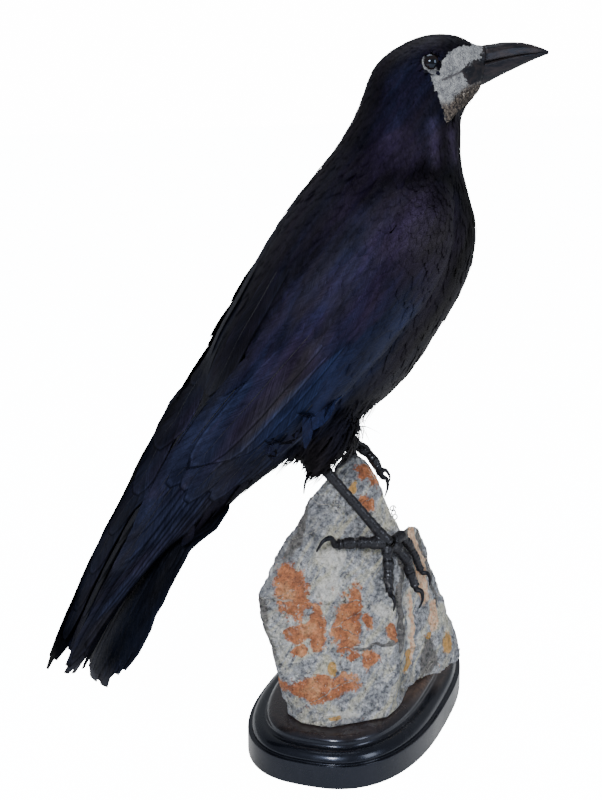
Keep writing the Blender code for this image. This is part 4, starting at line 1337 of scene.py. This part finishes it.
def build_wing(word):
    """Primaries first, so that the secondaries and tertials lie over them, then the coverts."""
    wing = WINGS[word]
    field, scale = wing["field"], wing["scale"] * MM
    primaries = PRIMARY_TIPS[word]
    coat, coverts, shafts = Coat(), Coat(), []
    strips = len(primaries) + len(SECONDARY_TIPS) + len(TERTIAL_TIPS)

    def lay(number, root, tip, bend, width, profile, lifts, **look):
        root, tip = ((place[0] * scale, place[1] * scale) for place in (root, tip))
        long_feather(coat, shafts, field, root, tip, bend, width * MM, profile,
                     (lifts[0] * MM, lifts[1] * MM), number, strips, look)

    for i, tip in enumerate(primaries):
        root = (66.0 + 3 * i, -4.5 - 2.2 * i)
        lay(i, root, tip, 4.0 if i < 2 else 3.0, 12.0 + 0.3 * i, TIP_PROFILE if i < 4 else FLIGHT_PROFILE,
            (-2.3 + 0.12 * i, -1.2 + 0.20 * i), ragged=0.10, shaft=-0.35)
    for j, tip in enumerate(SECONDARY_TIPS):
        root = (44.0 + 2 * j, tip[1] * 0.9 + 4.0)
        tip = (tip[0] + rng.uniform(-6, 5), tip[1])
        lay(len(primaries) + j, root, tip, 1.0, 13.0, BLUNT_PROFILE, (-1.3 + 0.10 * j, 0.3 + 0.08 * j),
            ragged=0.07, shaft=-0.25)
    for k, (tip, width) in enumerate(zip(TERTIAL_TIPS, TERTIAL_WIDTHS)):
        root = (62.0 - 5 * k, tip[1] * 0.9 - 1.0)
        lay(len(primaries) + len(SECONDARY_TIPS) + k, root, tip, 1.0, width, BLUNT_PROFILE,
            (-0.9 + 0.10 * k, 1.2 + 0.30 * k), ragged=0.05, shaft=0.0, slant=wing["side"] * 0.35)
    covert_rows(coverts, wing, LOWER_COVERTS, COVERT_PROFILE, 0.12)
    covert_rows(coverts, wing, UPPER_COVERTS, COVERT_PROFILE, 0.14)
    return coat, coverts, shafts


def build_over_back():
    """The inner flight feathers of both wings, which lie over the back and the root of the tail."""
    wings = list(WINGS.values())
    origin = sum(wing["start"] for wing in wings) / 2
    along = unit(sum(wing["along"] for wing in wings))
    out = -unit(sum(wing["across"] for wing in wings))
    scale = sum(wing["scale"] for wing in wings) / 2 * MM
    tree = tree_of(*(NODES[node].data for node in ("wing_right", "wing_left", "trunk", "tail")))
    field = Field(tree, origin, along, np.array([0.0, 1.0, 0.0]), out, (0.0, 330 * MM),
                  (-30 * MM, 30 * MM), FIELD_STEP, 0.2)
    coat, shafts = Coat(), []
    strip = 0
    for side in SIDES.values():
        for k, (run, aside, width) in enumerate(OVER_BACK):
            root = (max(run - 105, 50) * scale, side * (aside + 3) * MM)
            tip = (run * scale, side * aside * MM)
            lifts = ((-1.2 - 0.2 * k) * MM, (0.9 - 0.22 * k) * MM)
            long_feather(coat, shafts, field, root, tip, 1.0, width * MM, BLUNT_PROFILE, lifts, strip,
                         2 * len(OVER_BACK), {"ragged": 0.06})
            strip += 1
    return coat, shafts


def build_tail():
    """Tail feathers over the CAD tail's upper face, the middle pair on top."""
    root, end = tail_root * np.array([1, 0, 1]), np.array(tail_end)
    along = unit(end - root)
    across = np.array([0.0, 1.0, 0.0])
    out = np.cross(across, along)
    out = out if out[0] < 0 else -out
    length = np.linalg.norm(end - root)
    tree = tree_of(NODES["tail"].data)
    field = Field(tree, root, along, across, out, (-0.02, length + 0.02), (-0.045, 0.045), FIELD_STEP, 0.05)
    low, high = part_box("tail")
    half = max(abs(low.y), abs(high.y))
    lean = (high.y + low.y) / 2
    coat, shafts = Coat(), []
    for i in range(RECTRICES):
        place = (i - (RECTRICES - 1) / 2) / ((RECTRICES - 1) / 2)
        shorter = 0.10 if place > 0 else 0.21
        reach = length * (1.01 - shorter * abs(place) ** 2.2) + rng.normal(0, 0.8) * MM
        tip = (reach, lean + place * (half - (8.0 if place > 0 else 10.0) * MM))
        start = (-32.0 * MM, place * 7 * MM)
        lift = (-0.9 - 1.7 * abs(place)) * MM
        look = {"dull": 0.35, "ragged": 0.12, "shaft": -0.12 * np.sign(place), "violet": 0.1,
                "gloss": 0.75}
        long_feather(coat, shafts, field, start, tip, 0.78, 21.0 * MM, BLUNT_PROFILE,
                     (lift, lift + 0.5 * MM), i, RECTRICES, look)
    return coat, shafts


def build_shafts(name, shafts):
    """Thin dark ribs down the flight feathers."""
    bm = bmesh.new()
    for path in shafts:
        rings = []
        for k, place in enumerate(path[1:-1]):
            radius = (0.36 - 0.27 * k / (len(path) - 3)) * MM
            ahead = Vector(path[min(k + 2, len(path) - 1)] - path[k]).normalized()
            side = ahead.orthogonal().normalized()
            other = ahead.cross(side)
            rings.append([bm.verts.new(Vector(place) + (side * math.cos(a) + other * math.sin(a)) * radius)
                          for a in (0, math.pi / 2, math.pi, 3 * math.pi / 2)])
        bridge(bm, rings)
    bmesh.ops.recalc_face_normals(bm, faces=bm.faces[:])
    return object_from_bmesh(name, bm)


# ---------------------------------------------------------------- bill, eyes and feet

def build_bill(node):
    """One half of the bill with its ridge and cutting edge."""
    bill = remesh(object_from_bmesh(f"{node}_horn", welded(node)), 0.38 * MM, 5)
    co, no = read_mesh(bill.data)
    e, _, _ = head_axes(co)
    lift = np.array([0.10 * noise.noise(Vector(p) * 300) for p in co])
    lift -= 0.12 * smooth_step(35 - e, 0, 3)
    if node == "bill_lower":
        lift += 0.45 * smooth_step(no[:, 2], 0.3, 0.7)
    else:
        lift += 0.40 * smooth_step(no[:, 2], 0.1, 0.7) * smooth_step(e, 36, 44)
        lift += 0.15 * smooth_step(-no[:, 2], 0.3, 0.7)
    write_places(bill.data, co + no * (lift * MM)[:, None])
    return bill


def build_eye(word):
    low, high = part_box(f"eye_{word}")
    centre = (low + high) / 2
    radius = (high.z - low.z) / 2
    bm = bmesh.new()
    bmesh.ops.create_uvsphere(bm, u_segments=48, v_segments=32, radius=radius)
    eye = object_from_bmesh(f"eye_{word}_glass", bm)
    outward = head_left * SIDES[word]
    eye.rotation_mode = "QUATERNION"
    eye.rotation_quaternion = outward.to_track_quat("Z", "Y")
    eye.location = centre - outward * 0.20 * MM
    return eye, build_lid(word, centre, outward)


def build_lid(word, centre, outward):
    """A ring of small warty skin round the eye, palest behind and below it."""
    bm = bmesh.new()
    turn = outward.to_track_quat("Z", "Y")
    around, across = 96, 12
    pale, grid = [], []
    for i in range(around):
        a = 2 * math.pi * i / around
        bump = 0.14 * noise.noise(Vector((math.cos(a) * 4, math.sin(a) * 4, 2.0 * SIDES[word])))
        ring_radius = 4.30 + 0.15 * math.cos(2 * a)
        tube = 0.36 + 0.14 * noise.noise(Vector((math.cos(a) * 9, math.sin(a) * 9, 5.0))) + bump
        outer = turn @ Vector((math.cos(a), math.sin(a), 0))
        behind = -outer.dot(head_ahead) * 0.8 - outer.z * 0.6
        row = []
        for j in range(across):
            b = 2 * math.pi * j / across
            r = ring_radius + tube * math.cos(b)
            z = LID_HEIGHT - 0.55 * outer.z + tube * 0.8 * math.sin(b)
            row.append(bm.verts.new(centre + turn @ (Vector((math.cos(a) * r, math.sin(a) * r, z)) * MM)))
            pale.append(0.03 + 0.12 * behind)
        grid.append(row)
    close_rows(bm, grid)
    bmesh.ops.recalc_face_normals(bm, faces=bm.faces[:])
    lid = object_from_bmesh(f"eyelid_{word}", bm)
    write_value(lid.data, "pale", pale)
    return lid


def build_nostril(word, skin):
    """A dark oval opening, painted dark as shade, with a pale rim, low on the side of the bill's root."""
    side = SIDES[word]
    bill = tree_of(NODES["bill_upper"].data, NODES["bill_lower"].data, skin.data)
    guess = eye_mid + head_ahead * NOSTRIL[0] * MM + UP * NOSTRIL[1] * MM + head_left * side * 12 * MM
    centre = bill.ray_cast(guess, -head_left * side)[0]
    outward = head_left * side
    turn = outward.to_track_quat("Z", "Y")
    bm = bmesh.new()
    pale, grid = [], []
    around, across = 32, 8
    for i in range(around):
        a = 2 * math.pi * i / around
        row = []
        for j in range(across):
            b = 2 * math.pi * j / across
            r = 1.0 + 0.24 * math.cos(b)
            ring = Vector((0, 0, 0.24 * math.sin(b)))
            flat = head_ahead * (1.30 * r * math.cos(a))
            flat += UP * (0.80 * r * math.sin(a) + 0.30 * r * math.cos(a))
            row.append(bm.verts.new(centre + (flat + turn @ ring) * MM))
            pale.append(0.16 - 0.20 * math.cos(a))
        grid.append(row)
    # The disc inside the pale rim is painted dark (pale -1): painted shade in the opening
    hub = bm.verts.new(centre + outward * 0.05 * MM)
    pale.append(-1.0)
    close_rows(bm, grid)
    inner = []
    for i in range(around):
        inner.append(bm.verts.new(grid[i][across // 2].co.copy()))
        pale.append(-1.0)
    for i in range(around):
        bm.faces.new((inner[i], inner[(i + 1) % around], hub))
    nostril = object_from_bmesh(f"nostril_{word}", bm)
    write_value(nostril.data, "pale", pale)
    return nostril


def tube_rings(node):
    """Centres and radii of a CAD tube's rings, in order from one of its ends."""
    bm = welded(node)
    bm.verts.ensure_lookup_table()
    centre = sum((v.co for v in bm.verts), Vector()) / len(bm.verts)
    start = max(bm.verts, key=lambda v: (v.co - centre).length)
    best = []
    for face in start.link_faces:
        flat = [v for v in bm.verts if abs((v.co - start.co).dot(face.normal)) < 0.004 * MM]
        if len(flat) > len(best):
            best = flat
    ring, seen, rings = best, set(best), []
    while ring:
        rings.append(ring)
        beyond = {e.other_vert(v) for v in ring for e in v.link_edges} - seen
        seen |= beyond
        ring = list(beyond)
    centres = [sum((v.co for v in ring), Vector()) / len(ring) for ring in rings]
    radii = [sum((v.co - c).length for v in ring) / len(ring) for ring, c in zip(rings, centres)]
    bm.free()
    return centres, radii


def tube_mesh(bm, path, radii, sides, flat=1.0):
    """A closed tube along a path."""
    rings = []
    normal = None
    for k, point in enumerate(path):
        way = Vector(path[min(k + 1, len(path) - 1)] - path[max(k - 1, 0)]).normalized()
        if normal is None:
            normal = way.orthogonal().normalized()
        normal = (normal - way * normal.dot(way)).normalized()
        other = way.cross(normal)
        ring = []
        for a in np.linspace(0, 2 * math.pi, sides, endpoint=False):
            away = (normal * math.cos(a) + other * math.sin(a) * flat) * radii[k]
            ring.append(bm.verts.new(Vector(point) + away))
        rings.append(ring)
    bridge(bm, rings)


def from_root(centres, radii, root):
    """A tube's rings in order from the end that is nearer the root."""
    if (centres[0] - root).length > (centres[-1] - root).length:
        return centres[::-1], radii[::-1]
    return centres, radii


def spread(values, count):
    """The values read off at evenly spread places."""
    return np.interp(np.linspace(0, 1, count), np.linspace(0, 1, len(values)), values)


def build_foot(word):
    """Shank and toes melted into one scaled foot, and its four claws."""
    thigh = middle(f"thigh_{word}")
    shank, shank_r = from_root(*tube_rings(f"tarsus_{word}"), thigh)
    sole = shank[-1]
    bm = bmesh.new()
    claw_bm = bmesh.new()
    into_thigh = shank[0] + (shank[0] - shank[1]).normalized() * 7 * MM
    lines = [(catmull([into_thigh] + shank, SHANK_ROWS), spread(shank_r, SHANK_ROWS))]
    for toe in TOES:
        centres, radii = from_root(*tube_rings(f"{word}_{toe}"), sole)
        path = catmull([sole.lerp(centres[0], 0.25)] + centres, TOE_ROWS)
        swell = 1 + 0.10 * np.sin(np.linspace(0, 3.3 * 2 * math.pi, TOE_ROWS) - 0.6)
        width = spread(radii, TOE_ROWS) * swell
        lines.append((path, width * np.linspace(1.10, 0.94, TOE_ROWS)))
        claw, claw_r = from_root(*tube_rings(f"{word}_{toe}_claw"), centres[-1])
        inside = claw[0] + (claw[0] - claw[1]).normalized() * 2.4 * MM
        claw_path = catmull([inside] + claw, CLAW_ROWS)
        claw_width = spread([claw_r[0] * 1.05] + claw_r, CLAW_ROWS)
        claw_width[-1] = 0.12 * MM
        tube_mesh(claw_bm, claw_path, claw_width, 14, 0.82)
    for path, width in lines:
        tube_mesh(bm, path, width, 20)
    foot = remesh(object_from_bmesh(f"leg_{word}", bm), 0.55 * MM, 3)

    co, no = read_mesh(foot.data)
    index = kdtree.KDTree(sum(len(path) for path, _ in lines))
    facts = []
    for line_number, (path, width) in enumerate(lines):
        lengths = np.concatenate([[0], np.cumsum(np.linalg.norm(np.diff(path, axis=0), axis=1))])
        for k, point in enumerate(path):
            index.insert(Vector(point), len(facts))
            facts.append((line_number, lengths[k], Vector(point)))
    index.balance()
    stone = tree_of(NODES["stone"].data)
    ups = []
    for number, _, point in facts:
        if number == 0:
            ups.append(Vector((0.8, 0, 0.6)))
        else:
            near, _, _, _ = stone.find_nearest(point)
            ups.append((point - near).normalized())
    lift = np.zeros(len(co))
    groove = np.zeros(len(co))
    for i in range(len(co)):
        _, k, _ = index.find(Vector(co[i]))
        number, run, _ = facts[k]
        top = float(Vector(no[i]).dot(ups[k]))
        pitch = SHANK_SCALE if number == 0 else TOE_SCALE
        saw = (run / pitch) % 1.0
        if top > -0.1:
            lift[i] = 0.46 * (saw ** 0.6 - 0.5)
            groove[i] = 1.0 - smooth_step(saw, 0.0, 0.16)
        else:
            lift[i] = 0.22 * noise.noise(Vector(co[i]) * 700)
    write_places(foot.data, co + no * (lift * MM)[:, None])
    write_value(foot.data, "groove", groove)
    bmesh.ops.recalc_face_normals(claw_bm, faces=claw_bm.faces[:])
    claws = object_from_bmesh(f"claws_{word}", claw_bm, 60)
    return foot, claws


# ---------------------------------------------------------------- stone and base

# Patches on the stone's broad face: place along X and up, half sizes (mm), and the lean of its long way
RUST = (
    (-54.5, 92.0, 9.5, 13.0, 0.1), (-27.0, 77.0, 6.8, 17.0, 0.42), (-45.0, 73.0, 6.0, 11.0, 0.2),
    (-57.0, 72.5, 6.0, 5.0, 0.0), (-58.0, 63.5, 5.5, 3.2, 0.0), (-49.0, 44.5, 20.0, 5.6, 0.0),
    (-17.0, 73.0, 3.8, 4.2, 0.0), (-2.5, 66.5, 3.2, 4.6, 0.0), (-28.0, 58.0, 4.5, 3.6, 0.0),
    (-18.0, 56.0, 4.5, 4.4, 0.0), (-2.0, 143.0, 6.0, 7.0, -0.3), (-5.0, 128.5, 6.5, 5.0, 0.0),
)
OCHRE = (
    (-10.0, 137.5, 3.2, 2.6, 0.0), (-42.5, 53.5, 4.5, 3.2, 0.0), (43.0, 42.0, 3.4, 6.0, 0.0),
    (-45.0, 27.5, 3.5, 1.6, 0.0), (11.0, 44.0, 2.4, 7.0, 0.1), (30.0, 50.0, 2.4, 3.0, 0.0),
)
TAN = (
    (25.5, 91.0, 5.0, 24.0, -0.14), (16.0, 62.0, 3.4, 20.0, 0.1), (33.0, 60.0, 3.4, 9.0, 0.0),
)
# Dark patches, mostly dark ore; two are painted shade: the one under the wire curls at (16, 108), and the
# leaning one on the shadowed slab at the back, at (-48, 118)
DARK_ORE_AND_PAINTED_SHADE = (
    (-75.0, 74.0, 5.5, 24.0, 0.0), (6.5, 74.0, 2.6, 34.0, 0.2), (16.0, 108.0, 5.0, 7.0, 0.0),
    (-48.0, 118.0, 3.2, 17.0, 0.55), (35.0, 66.0, 2.0, 2.6, 0.0), (33.0, 88.0, 1.6, 26.0, -0.2),
    (28.0, 40.0, 7.0, 8.0, 0.0), (-14.0, 62.0, 26.0, 1.0, 0.0),
)
QUARTZ = (
    (-5.0, 78.0, 6.5, 4.6, 0.0), (13.0, 60.0, 2.2, 21.0, 0.13), (-42.0, 30.0, 12.0, 3.0, 0.0),
    (-36.0, 92.0, 7.0, 10.0, 0.5), (-30.0, 106.0, 9.0, 6.0, 0.5),
)
# Dents in the broad face: a crack, the seam where the two big masses meet, and a small hole. X, Z (mm)
FISSURE = ((-62.0, 58.5), (-34.0, 63.0), (-15.0, 64.5), (4.0, 62.0))
GROOVE = ((13.0, 108.0), (6.0, 85.0), (3.0, 60.0), (6.0, 30.0))
PIT = (35.0, 65.6)


def warped(co):
    """Places across the broad face and up it (mm), pushed about by noise."""
    out = np.empty((len(co), 2))
    for i, place in enumerate(co):
        p = Vector(place)
        push = noise.noise_vector(p * 60) * 4.2 + noise.noise_vector(p * 190) * 1.8
        out[i] = (place[0] / MM + push.x, place[2] / MM + push.z)
    return out


def patch_mask(pushed, spots):
    """How deep in any of the patches each place is, 0 to 1."""
    strength = np.full(len(pushed), -1.0)
    for x, z, half_x, half_z, lean in spots:
        up = pushed[:, 1] - z
        aside = pushed[:, 0] - x - lean * up
        strength = np.maximum(strength, 1 - np.hypot(aside / half_x, up / half_z))
    return smooth_step(strength, -0.6, 0.6)


def build_stone():
    """The CAD stone run finer, with chips, dents and a mask for each colour of patch."""
    stone = remesh(object_from_bmesh("ore_stone", welded("stone")), 1.05 * MM, 1)
    co, no = read_mesh(stone.data)
    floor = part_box("stone")[0].z
    lift = np.empty(len(co))
    for i, place in enumerate(co):
        p = Vector(place)
        chips = noise.voronoi(p * 95)[0]
        lift[i] = (1.5 * noise.fractal(p * 70, 0.8, 2.1, 6) + 0.9 * noise.noise(p * 26)
                   + 1.1 * (chips[1] - chips[0] - 0.3) + 0.40 * noise.noise(p * 420) - 0.6)
    front = no[:, 1] < 0.2
    x, z = co[:, 0] / MM, co[:, 2] / MM
    dents = ((1.1, near_path(x, z, FISSURE), 0.9), (2.0, near_path(x, z, GROOVE), 2.2),
             (3.0, np.hypot(x - PIT[0], z - PIT[1]), 1.6))
    for deep, away, wide in dents:
        lift -= deep * np.exp(-(away / wide) ** 2) * front
    calm = smooth_step(co[:, 2] - floor, 0.5 * MM, 4 * MM)
    write_places(stone.data, co + no * (lift * calm * MM)[:, None])
    pushed = warped(co)
    patches_by_name = {"rust": RUST, "ochre": OCHRE, "tan": TAN, "dark_ore_and_painted_shade": DARK_ORE_AND_PAINTED_SHADE, "quartz": QUARTZ}
    for name, spots in patches_by_name.items():
        write_value(stone.data, name, patch_mask(pushed, spots) * (no[:, 1] < 0.45))
    return stone


def build_base():
    """The CAD base's own outline and moulding, run finer and rounder."""
    co, _ = read_mesh(NODES["base"].data)
    levels = sorted({round(z / MM, 2) for z in co[:, 2]})
    foot = np.unique(np.round(co[np.abs(co[:, 2]) < 0.01 * MM][:, :2], 6), axis=0)
    foot = foot[np.argsort(np.arctan2(foot[:, 1], foot[:, 0]))]
    _, axes = np.linalg.eigh(np.cov(foot.T))
    long_axis = axes[:, 1]
    far = (foot @ long_axis).max()
    steps = []
    for z in levels:
        ring = co[np.abs(co[:, 2] / MM - z) < 0.02][:, :2]
        if len(ring) > 20:
            steps.append((far - (ring @ long_axis).max(), z * MM))
    steps.sort(key=lambda step: (step[1], step[0]))
    dense = catmull(steps, len(steps) * 6)
    closed = np.concatenate([foot[-2:], foot, foot[:3]])
    outline = catmull(closed, (len(closed) - 1) * 4 + 1)[8:8 + len(foot) * 4]
    way = unit(np.roll(outline, -1, axis=0) - np.roll(outline, 1, axis=0))
    inward = np.stack([-way[:, 1], way[:, 0]], axis=1)
    bm = bmesh.new()
    rings = []
    for inset, z in dense:
        ring = outline + inward * max(inset, 0.0)
        rings.append([bm.verts.new((x, y, max(z, 0.0))) for x, y in ring])
    bridge(bm, rings)
    bmesh.ops.recalc_face_normals(bm, faces=bm.faces[:])
    base = object_from_bmesh("moulded_base", bm, 30)
    co, no = read_mesh(base.data)
    inset = np.repeat([step[0] for step in dense], len(outline))
    # Brown on the upper faces of the inner moulding, strongest towards +X, and on the outer moulding's right
    # end: partly wear, partly a painted highlight
    inner = smooth_step(inset, 9 * MM, 14 * MM) * smooth_step(no[:, 2], 0.1, 0.7)
    wear_and_painted_highlight = inner * (0.10 + 0.90 * smooth_step(co[:, 0], 0, 45 * MM))
    moulding = smooth_step(inset, 4 * MM, 7 * MM) * smooth_step(co[:, 0], 25 * MM, 60 * MM)
    wear_and_painted_highlight = np.maximum(wear_and_painted_highlight, 0.45 * moulding)
    write_value(base.data, "wear_and_painted_highlight", wear_and_painted_highlight)
    return base


WIRE_RADIUS = 0.34 * MM


def build_wires():
    """Small curls of dark wire that stick out behind the stone's shoulder."""
    bm = bmesh.new()
    start = Vector((17.5, -9.0, 118.5)) * MM
    for number in range(3):
        centre = start + Vector((2.0 * number - 2, 2.0 * number, -3.4 * number + 3)) * MM
        path = []
        for k in range(26):
            a = 1.3 * number + k * 0.27
            r = (1.7 - 0.025 * k) * MM
            path.append(np.array(centre + Vector((math.cos(a) * r, 0.06 * MM * k, math.sin(a) * r))))
        tube_mesh(bm, path, [WIRE_RADIUS] * len(path), 6)
    bmesh.ops.recalc_face_normals(bm, faces=bm.faces[:])
    return object_from_bmesh("wire_curls", bm)


# ---------------------------------------------------------------- build

WINGS = build_wing_fields()
skin = refine_face(build_skin())
show(skin, SKIN, "plumage", "head", "neck", "trunk", "thigh_right", "thigh_left")
for part_name, coat in build_contour(skin):
    piece = coat.build(part_name)
    show(piece, SCAB if part_name == "chin_scabs" else PLUMAGE, "plumage")
for side_word in SIDES:
    wing_coat, wing_coverts, wing_shafts = build_wing(side_word)
    show(wing_coat.build(f"wing_{side_word}_feathers"), FLIGHT, "flight_feather", f"wing_{side_word}")
    show(wing_coverts.build(f"wing_{side_word}_coverts"), PLUMAGE, "plumage")
    show(build_shafts(f"wing_{side_word}_shafts", wing_shafts), SHAFT, "flight_feather")
for word, build, stands_for in (("inner_flight", build_over_back, ()), ("tail", build_tail, ("tail",))):
    feathers, ribs = build()
    show(feathers.build(f"{word}_feathers"), FLIGHT, "flight_feather", *stands_for)
    show(build_shafts(f"{word}_shafts", ribs), SHAFT, "flight_feather")
for bill_node in ("bill_upper", "bill_lower"):
    show(build_bill(bill_node), HORN, "horn", bill_node)
GLASS, LID = eye_material(), lid_material()
for side_word in SIDES:
    eye_piece, lid_piece = build_eye(side_word)
    show(eye_piece, GLASS, "glass_eye", f"eye_{side_word}")
    show(lid_piece, LID, "plumage")
    show(build_nostril(side_word, skin), LID, "horn")
    foot_piece, claw_piece = build_foot(side_word)
    show(foot_piece, LEG, "leg_scale", f"tarsus_{side_word}", *[f"{side_word}_{toe}" for toe in TOES])
    show(claw_piece, CLAW, "horn", *[f"{side_word}_{toe}_claw" for toe in TOES])
show(build_stone(), stone_material(), "ore_stone", "stone")
show(build_base(), lacquer_material(), "lacquered_wood", "base")
WIRE = horn_material("dull wire", (0.003, 0.003, 0.004), (0.010, 0.009, 0.009), 0.75, 0.10)
show(build_wires(), WIRE, "horn")


# ---------------------------------------------------------------- studio

GLOW = 15.0                    # how white the floor and the world are to the camera alone
WORLD_GLOW = 15.5
WORLD_LIGHT = 0.30


def seen_by_camera(tree, plain, bright, output):
    """Feed an output with one shader, and with another one where the camera looks at it."""
    seen = put(tree, "ShaderNodeLightPath").outputs["Is Camera Ray"]
    mixed = put(tree, "ShaderNodeMixShader", {0: seen, 1: plain.outputs[0], 2: bright.outputs[0]})
    tree.links.new(mixed.outputs[0], tree.nodes[output].inputs["Surface"])


def build_studio():
    look = Look("studio floor", Roughness=0.9, Base_Color=(0.86, 0.87, 0.88))
    glow = put(look.tree, "ShaderNodeEmission", {"Color": (0.97, 0.99, 1.0, 1.0), "Strength": GLOW})
    both = put(look.tree, "ShaderNodeAddShader", {0: look.shader.outputs[0], 1: glow.outputs[0]})
    seen_by_camera(look.tree, look.shader, both, "Material Output")
    bm = bmesh.new()
    bmesh.ops.create_grid(bm, x_segments=1, y_segments=1, size=4.0)
    floor = object_from_bmesh("studio_floor", bm)
    floor.location = (0, 0, -0.4 * MM)
    floor.data.materials.append(look.material)

    world = bpy.data.worlds.new("white studio")
    bpy.context.scene.world = world
    world.use_nodes = True
    tree = world.node_tree
    background = tree.nodes["Background"]
    background.inputs["Color"].default_value = (0.92, 0.96, 1.0, 1.0)
    background.inputs["Strength"].default_value = WORLD_LIGHT
    bright = put(tree, "ShaderNodeBackground", {"Color": (1.0, 1.0, 1.0, 1.0), "Strength": WORLD_GLOW})
    seen_by_camera(tree, background, bright, "World Output")


def add_light(name, place, target, size, power, colour):
    light = bpy.data.lights.new(name, "AREA")
    light.shape = "RECTANGLE"
    light.size, light.size_y = size
    light.energy = power
    light.color = colour
    obj = bpy.data.objects.new(name, light)
    bpy.context.scene.collection.objects.link(obj)
    obj.location = place
    obj.rotation_euler = (Vector(target) - Vector(place)).to_track_quat("-Z", "Y").to_euler()


build_studio()
target = (-0.02, 0.0, 0.22)
add_light("key softbox", (-1.00, -1.30, 1.15), target, (0.42, 0.42), 37, (1.0, 0.985, 0.96))
add_light("right softbox", (0.75, -1.25, 0.75), target, (0.5, 0.7), 9, (0.95, 0.97, 1.0))
add_light("top softbox", (0.05, 0.35, 1.5), target, (0.8, 0.6), 8, (0.96, 0.98, 1.0))

CAMERA_AZIMUTH = math.radians(25.0)
CAMERA_PITCH = math.radians(14.7)
CAMERA_PLACE = Vector((-0.3630, -0.7004, 0.3899))
CAMERA_LENS = 67.5             # mm, as the sensor
CAMERA_SENSOR = 36.0
camera = bpy.data.objects.new("camera", bpy.data.cameras.new("camera"))
bpy.context.scene.collection.objects.link(camera)
camera.location = CAMERA_PLACE
looking = Vector((math.sin(CAMERA_AZIMUTH) * math.cos(CAMERA_PITCH),
                  math.cos(CAMERA_AZIMUTH) * math.cos(CAMERA_PITCH), -math.sin(CAMERA_PITCH)))
camera.rotation_euler = looking.to_track_quat("-Z", "Y").to_euler()
camera.data.lens = CAMERA_LENS
camera.data.sensor_width = CAMERA_SENSOR
camera.data.clip_start = 0.05
camera.data.clip_end = 20.0
bpy.context.scene.camera = camera
